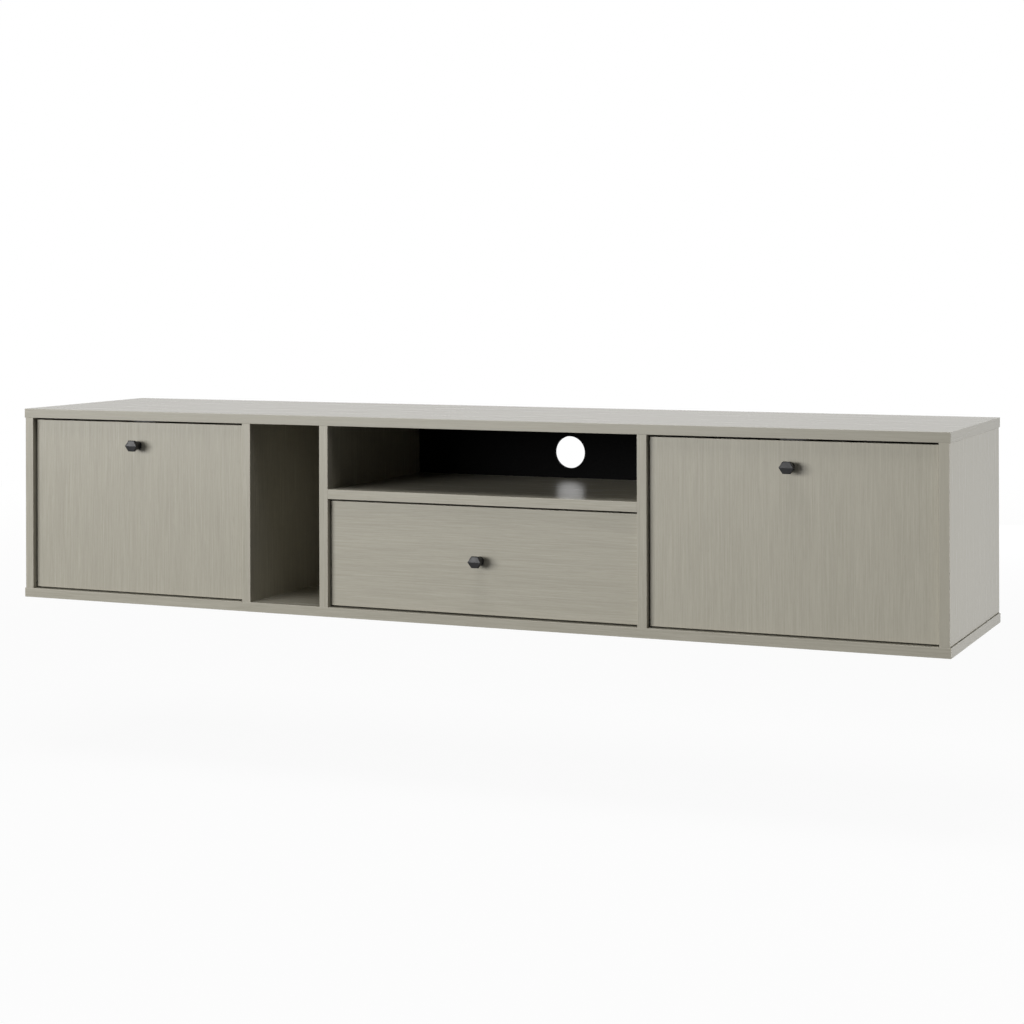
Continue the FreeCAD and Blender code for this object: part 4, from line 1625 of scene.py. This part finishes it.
@dataclass(frozen=True)
class Softbox:
    """One area light: where it hangs, what it faces, its width and height, and its power in watts."""

    name: str
    place: tuple
    aim: tuple
    width: float
    height: float
    power: float

    def hang(self) -> None:
        """Put the light in the scene."""
        light = bpy.data.lights.new(self.name, "AREA")
        light.shape = "RECTANGLE"
        light.size = self.width
        light.size_y = self.height
        light.energy = self.power
        lamp = bpy.data.objects.new(self.name, light)
        lamp.location = self.place
        lamp.rotation_euler = (Vector(self.aim) - Vector(self.place)).to_track_quat("-Z", "Y").to_euler()
        lamp.visible_camera = False
        bpy.context.collection.objects.link(lamp)


WHITE = (1.0, 1.0, 1.0, 1.0)

SOFTBOXES = (
    Softbox("key", (-4.3, -7.7, 1.35), (0.0, -0.3, 0.17), 6.0, 2.2, 640.0),
    Softbox("overhead", (0.0, -1.0, 4.2), (0.0, -0.25, 0.2), 2.4, 2.2, 90.0),
    Softbox("right", (2.3, -0.36, 0.12), (0.88, -0.36, 0.17), 0.20, 0.6, 12.8),
    Softbox("rear", (-0.8, 4.0, 0.05), (0.0, 0.0, 0.17), 3.0, 0.55, 70.0),
)


@dataclass
class Studio:
    """The floor, the lights and the camera."""

    floor_z: float = -0.30
    floor_size: float = 40.0
    floor_bounce: float = 0.14
    floor_near: float = 1.2
    floor_far: float = 6.0
    floor_shade: float = 0.94
    floor_tone: float = 0.86
    ambient: float = 0.04
    lens: float = 76.07
    sensor: float = 36.0
    eye: tuple = (1.6143, -3.7961, 0.5974)
    yaw_deg: float = 23.617
    roll_deg: float = -0.158
    horizon_shift: float = -0.2258

    def build(self) -> None:
        """Make everything that isn't the object."""
        scene = bpy.context.scene
        scene.view_settings.view_transform = "Standard"
        self.world(scene)
        self.floor()
        self.camera(scene)
        for softbox in SOFTBOXES:
            softbox.hang()

    def seen(self, graph: Graph) -> Socket:
        """1 for camera, glossy and transmission rays that no matt surface has scattered, 0 for the rest.

        Args:
            graph: The graph that asks.

        Returns:
            The factor.
        """
        path = graph.node("LightPath")
        rays = graph.math("ADD", path.outputs["Is Camera Ray"], path.outputs["Is Glossy Ray"])
        rays = graph.math("MINIMUM", graph.math("ADD", rays, path.outputs["Is Transmission Ray"]), 1.0)
        unscattered = graph.math("LESS_THAN", path.outputs["Diffuse Depth"], 0.5)
        return graph.math("MULTIPLY", rays, unscattered)

    def whiten(self, graph: Graph, share: Socket, shader: Socket, kind: str) -> Socket:
        """Show plain white over a shader.

        Args:
            graph: The graph of the floor or the world.
            share: How much of the white shows.
            shader: What shows otherwise.
            kind: The type of the node that gives the white.

        Returns:
            The mixed shader.
        """
        white = graph.node(kind)
        white.inputs["Color"].default_value = WHITE
        white.inputs["Strength"].default_value = 1.0
        return self.layer(graph, share, shader, white.outputs[0])

    def layer(self, graph: Graph, share: Socket, under: Socket, over: Socket) -> Socket:
        """Lay one shader over another.

        Args:
            graph: Their graph.
            share: How much of the upper one shows.
            under: The lower shader.
            over: The upper shader.

        Returns:
            The mixed shader.
        """
        mix = graph.node("MixShader")
        for socket, value in zip(mix.inputs, (share, under, over)):
            graph.feed(socket, value)
        return mix.outputs[0]

    def world(self, scene: bpy.types.Scene) -> None:
        """White to the camera and in reflections, and a low even light elsewhere.

        Args:
            scene: The scene that gets the world.
        """
        scene.world = bpy.data.worlds.new("studio")
        graph = Graph(scene.world)
        soft = graph.node("Background")
        soft.inputs["Color"].default_value = WHITE
        soft.inputs["Strength"].default_value = self.ambient
        both = self.whiten(graph, self.seen(graph), soft.outputs[0], "Background")
        graph.feed(graph.node("OutputWorld").inputs["Surface"], both)

    def floor(self) -> None:
        """A pale floor that keeps the console's shadow, is white further out, and is clear from below."""
        bpy.ops.mesh.primitive_plane_add(size=self.floor_size, location=(0.0, 0.0, self.floor_z))
        floor = bpy.context.object
        floor.name = "studio_floor"
        graph = Graph.material("studio_floor")
        seen = self.seen(graph)
        far = graph.node("VectorMath", operation="LENGTH")
        graph.feed(far.inputs[0], graph.place())
        share = graph.span(far.outputs["Value"], self.floor_near, self.floor_far, self.floor_shade, 1.0)
        pale = graph.node("BsdfDiffuse")
        dim, shown = ((tone, tone, tone, 1.0) for tone in (self.floor_bounce, self.floor_tone))
        graph.feed(pale.inputs["Color"], graph.blend(seen, dim, shown))
        above = self.whiten(graph, graph.math("MULTIPLY", seen, share), pale.outputs[0], "Emission")
        below = graph.node("NewGeometry").outputs["Backfacing"]
        both = self.layer(graph, below, above, graph.node("BsdfTransparent").outputs[0])
        graph.feed(graph.node("OutputMaterial").inputs["Surface"], both)
        floor.data.materials.append(graph.owner)

    def camera(self, scene: bpy.types.Scene) -> None:
        """The camera, level, with its frame shifted below the horizon.

        Args:
            scene: The scene that gets the camera.
        """
        data = bpy.data.cameras.new("camera")
        data.lens = self.lens
        data.sensor_width = self.sensor
        data.shift_y = self.horizon_shift
        camera = bpy.data.objects.new("camera", data)
        turn = Euler((radians(90.0), 0.0, radians(self.yaw_deg)), "XYZ").to_matrix()
        roll = Matrix.Rotation(radians(self.roll_deg), 3, "Z")
        camera.matrix_world = Matrix.Translation(self.eye) @ (turn @ roll).to_4x4()
        bpy.context.collection.objects.link(camera)
        scene.camera = camera


# The bodies with a knob, which way is inwards on each side, and the body that each set of screws is in.
FRONTS = ("left_flap", "right_flap", "drawer")
INWARD = {"left": 1, "right": -1}
SCREWED = {
    "fitting_screws": "cabinet",
    "back_panel_screws": "cabinet",
    "left_stay_bracket_screws": "left_flap",
    "right_stay_bracket_screws": "right_flap",
    "drawer_front_screws": "drawer",
    "runner_drawer_screws": "drawer",
}


def fit_hardware(finishes: dict[str, Material]) -> None:
    """Model the knobs, screws, cams, catches and brakes.

    Args:
        finishes: The finish of each slot.
    """
    steel, plastic = finishes["bright_steel"], finishes["dark_plastic"]
    for body in FRONTS:
        Knob(body + "_knob", body).build(finishes["black_metal"])
        KnobScrew(body + "_knob_screw", body).build(steel)
    for node, body in SCREWED.items():
        CountersunkScrews(node, body).build(steel)
    CamLocks().build(finishes["cast_zinc"])
    for side in INWARD:
        StrikePlate(side + "_strike_plate", side + "_flap").build(steel)
    ferrite = MAGNET.material()
    for side, solid in zip(INWARD, solids_of("magnetic_catches")):
        MagneticCatch(side, solid).build(plastic, steel, ferrite)
    for side, inward in INWARD.items():
        StayBrake(side, inward).build(plastic, steel)


def main() -> None:
    """Build the studio, dress the console and fit its hardware."""
    logging.basicConfig(level=logging.INFO, format="%(name)s: %(message)s")
    bpy.ops.object.select_all(action="DESELECT")
    Studio().build()
    finishes = {slot: finish.material() for slot, finish in FINISHES.items()}
    dress_nodes(finishes)
    fit_hardware(finishes)


if __name__ == "__main__":
    main()
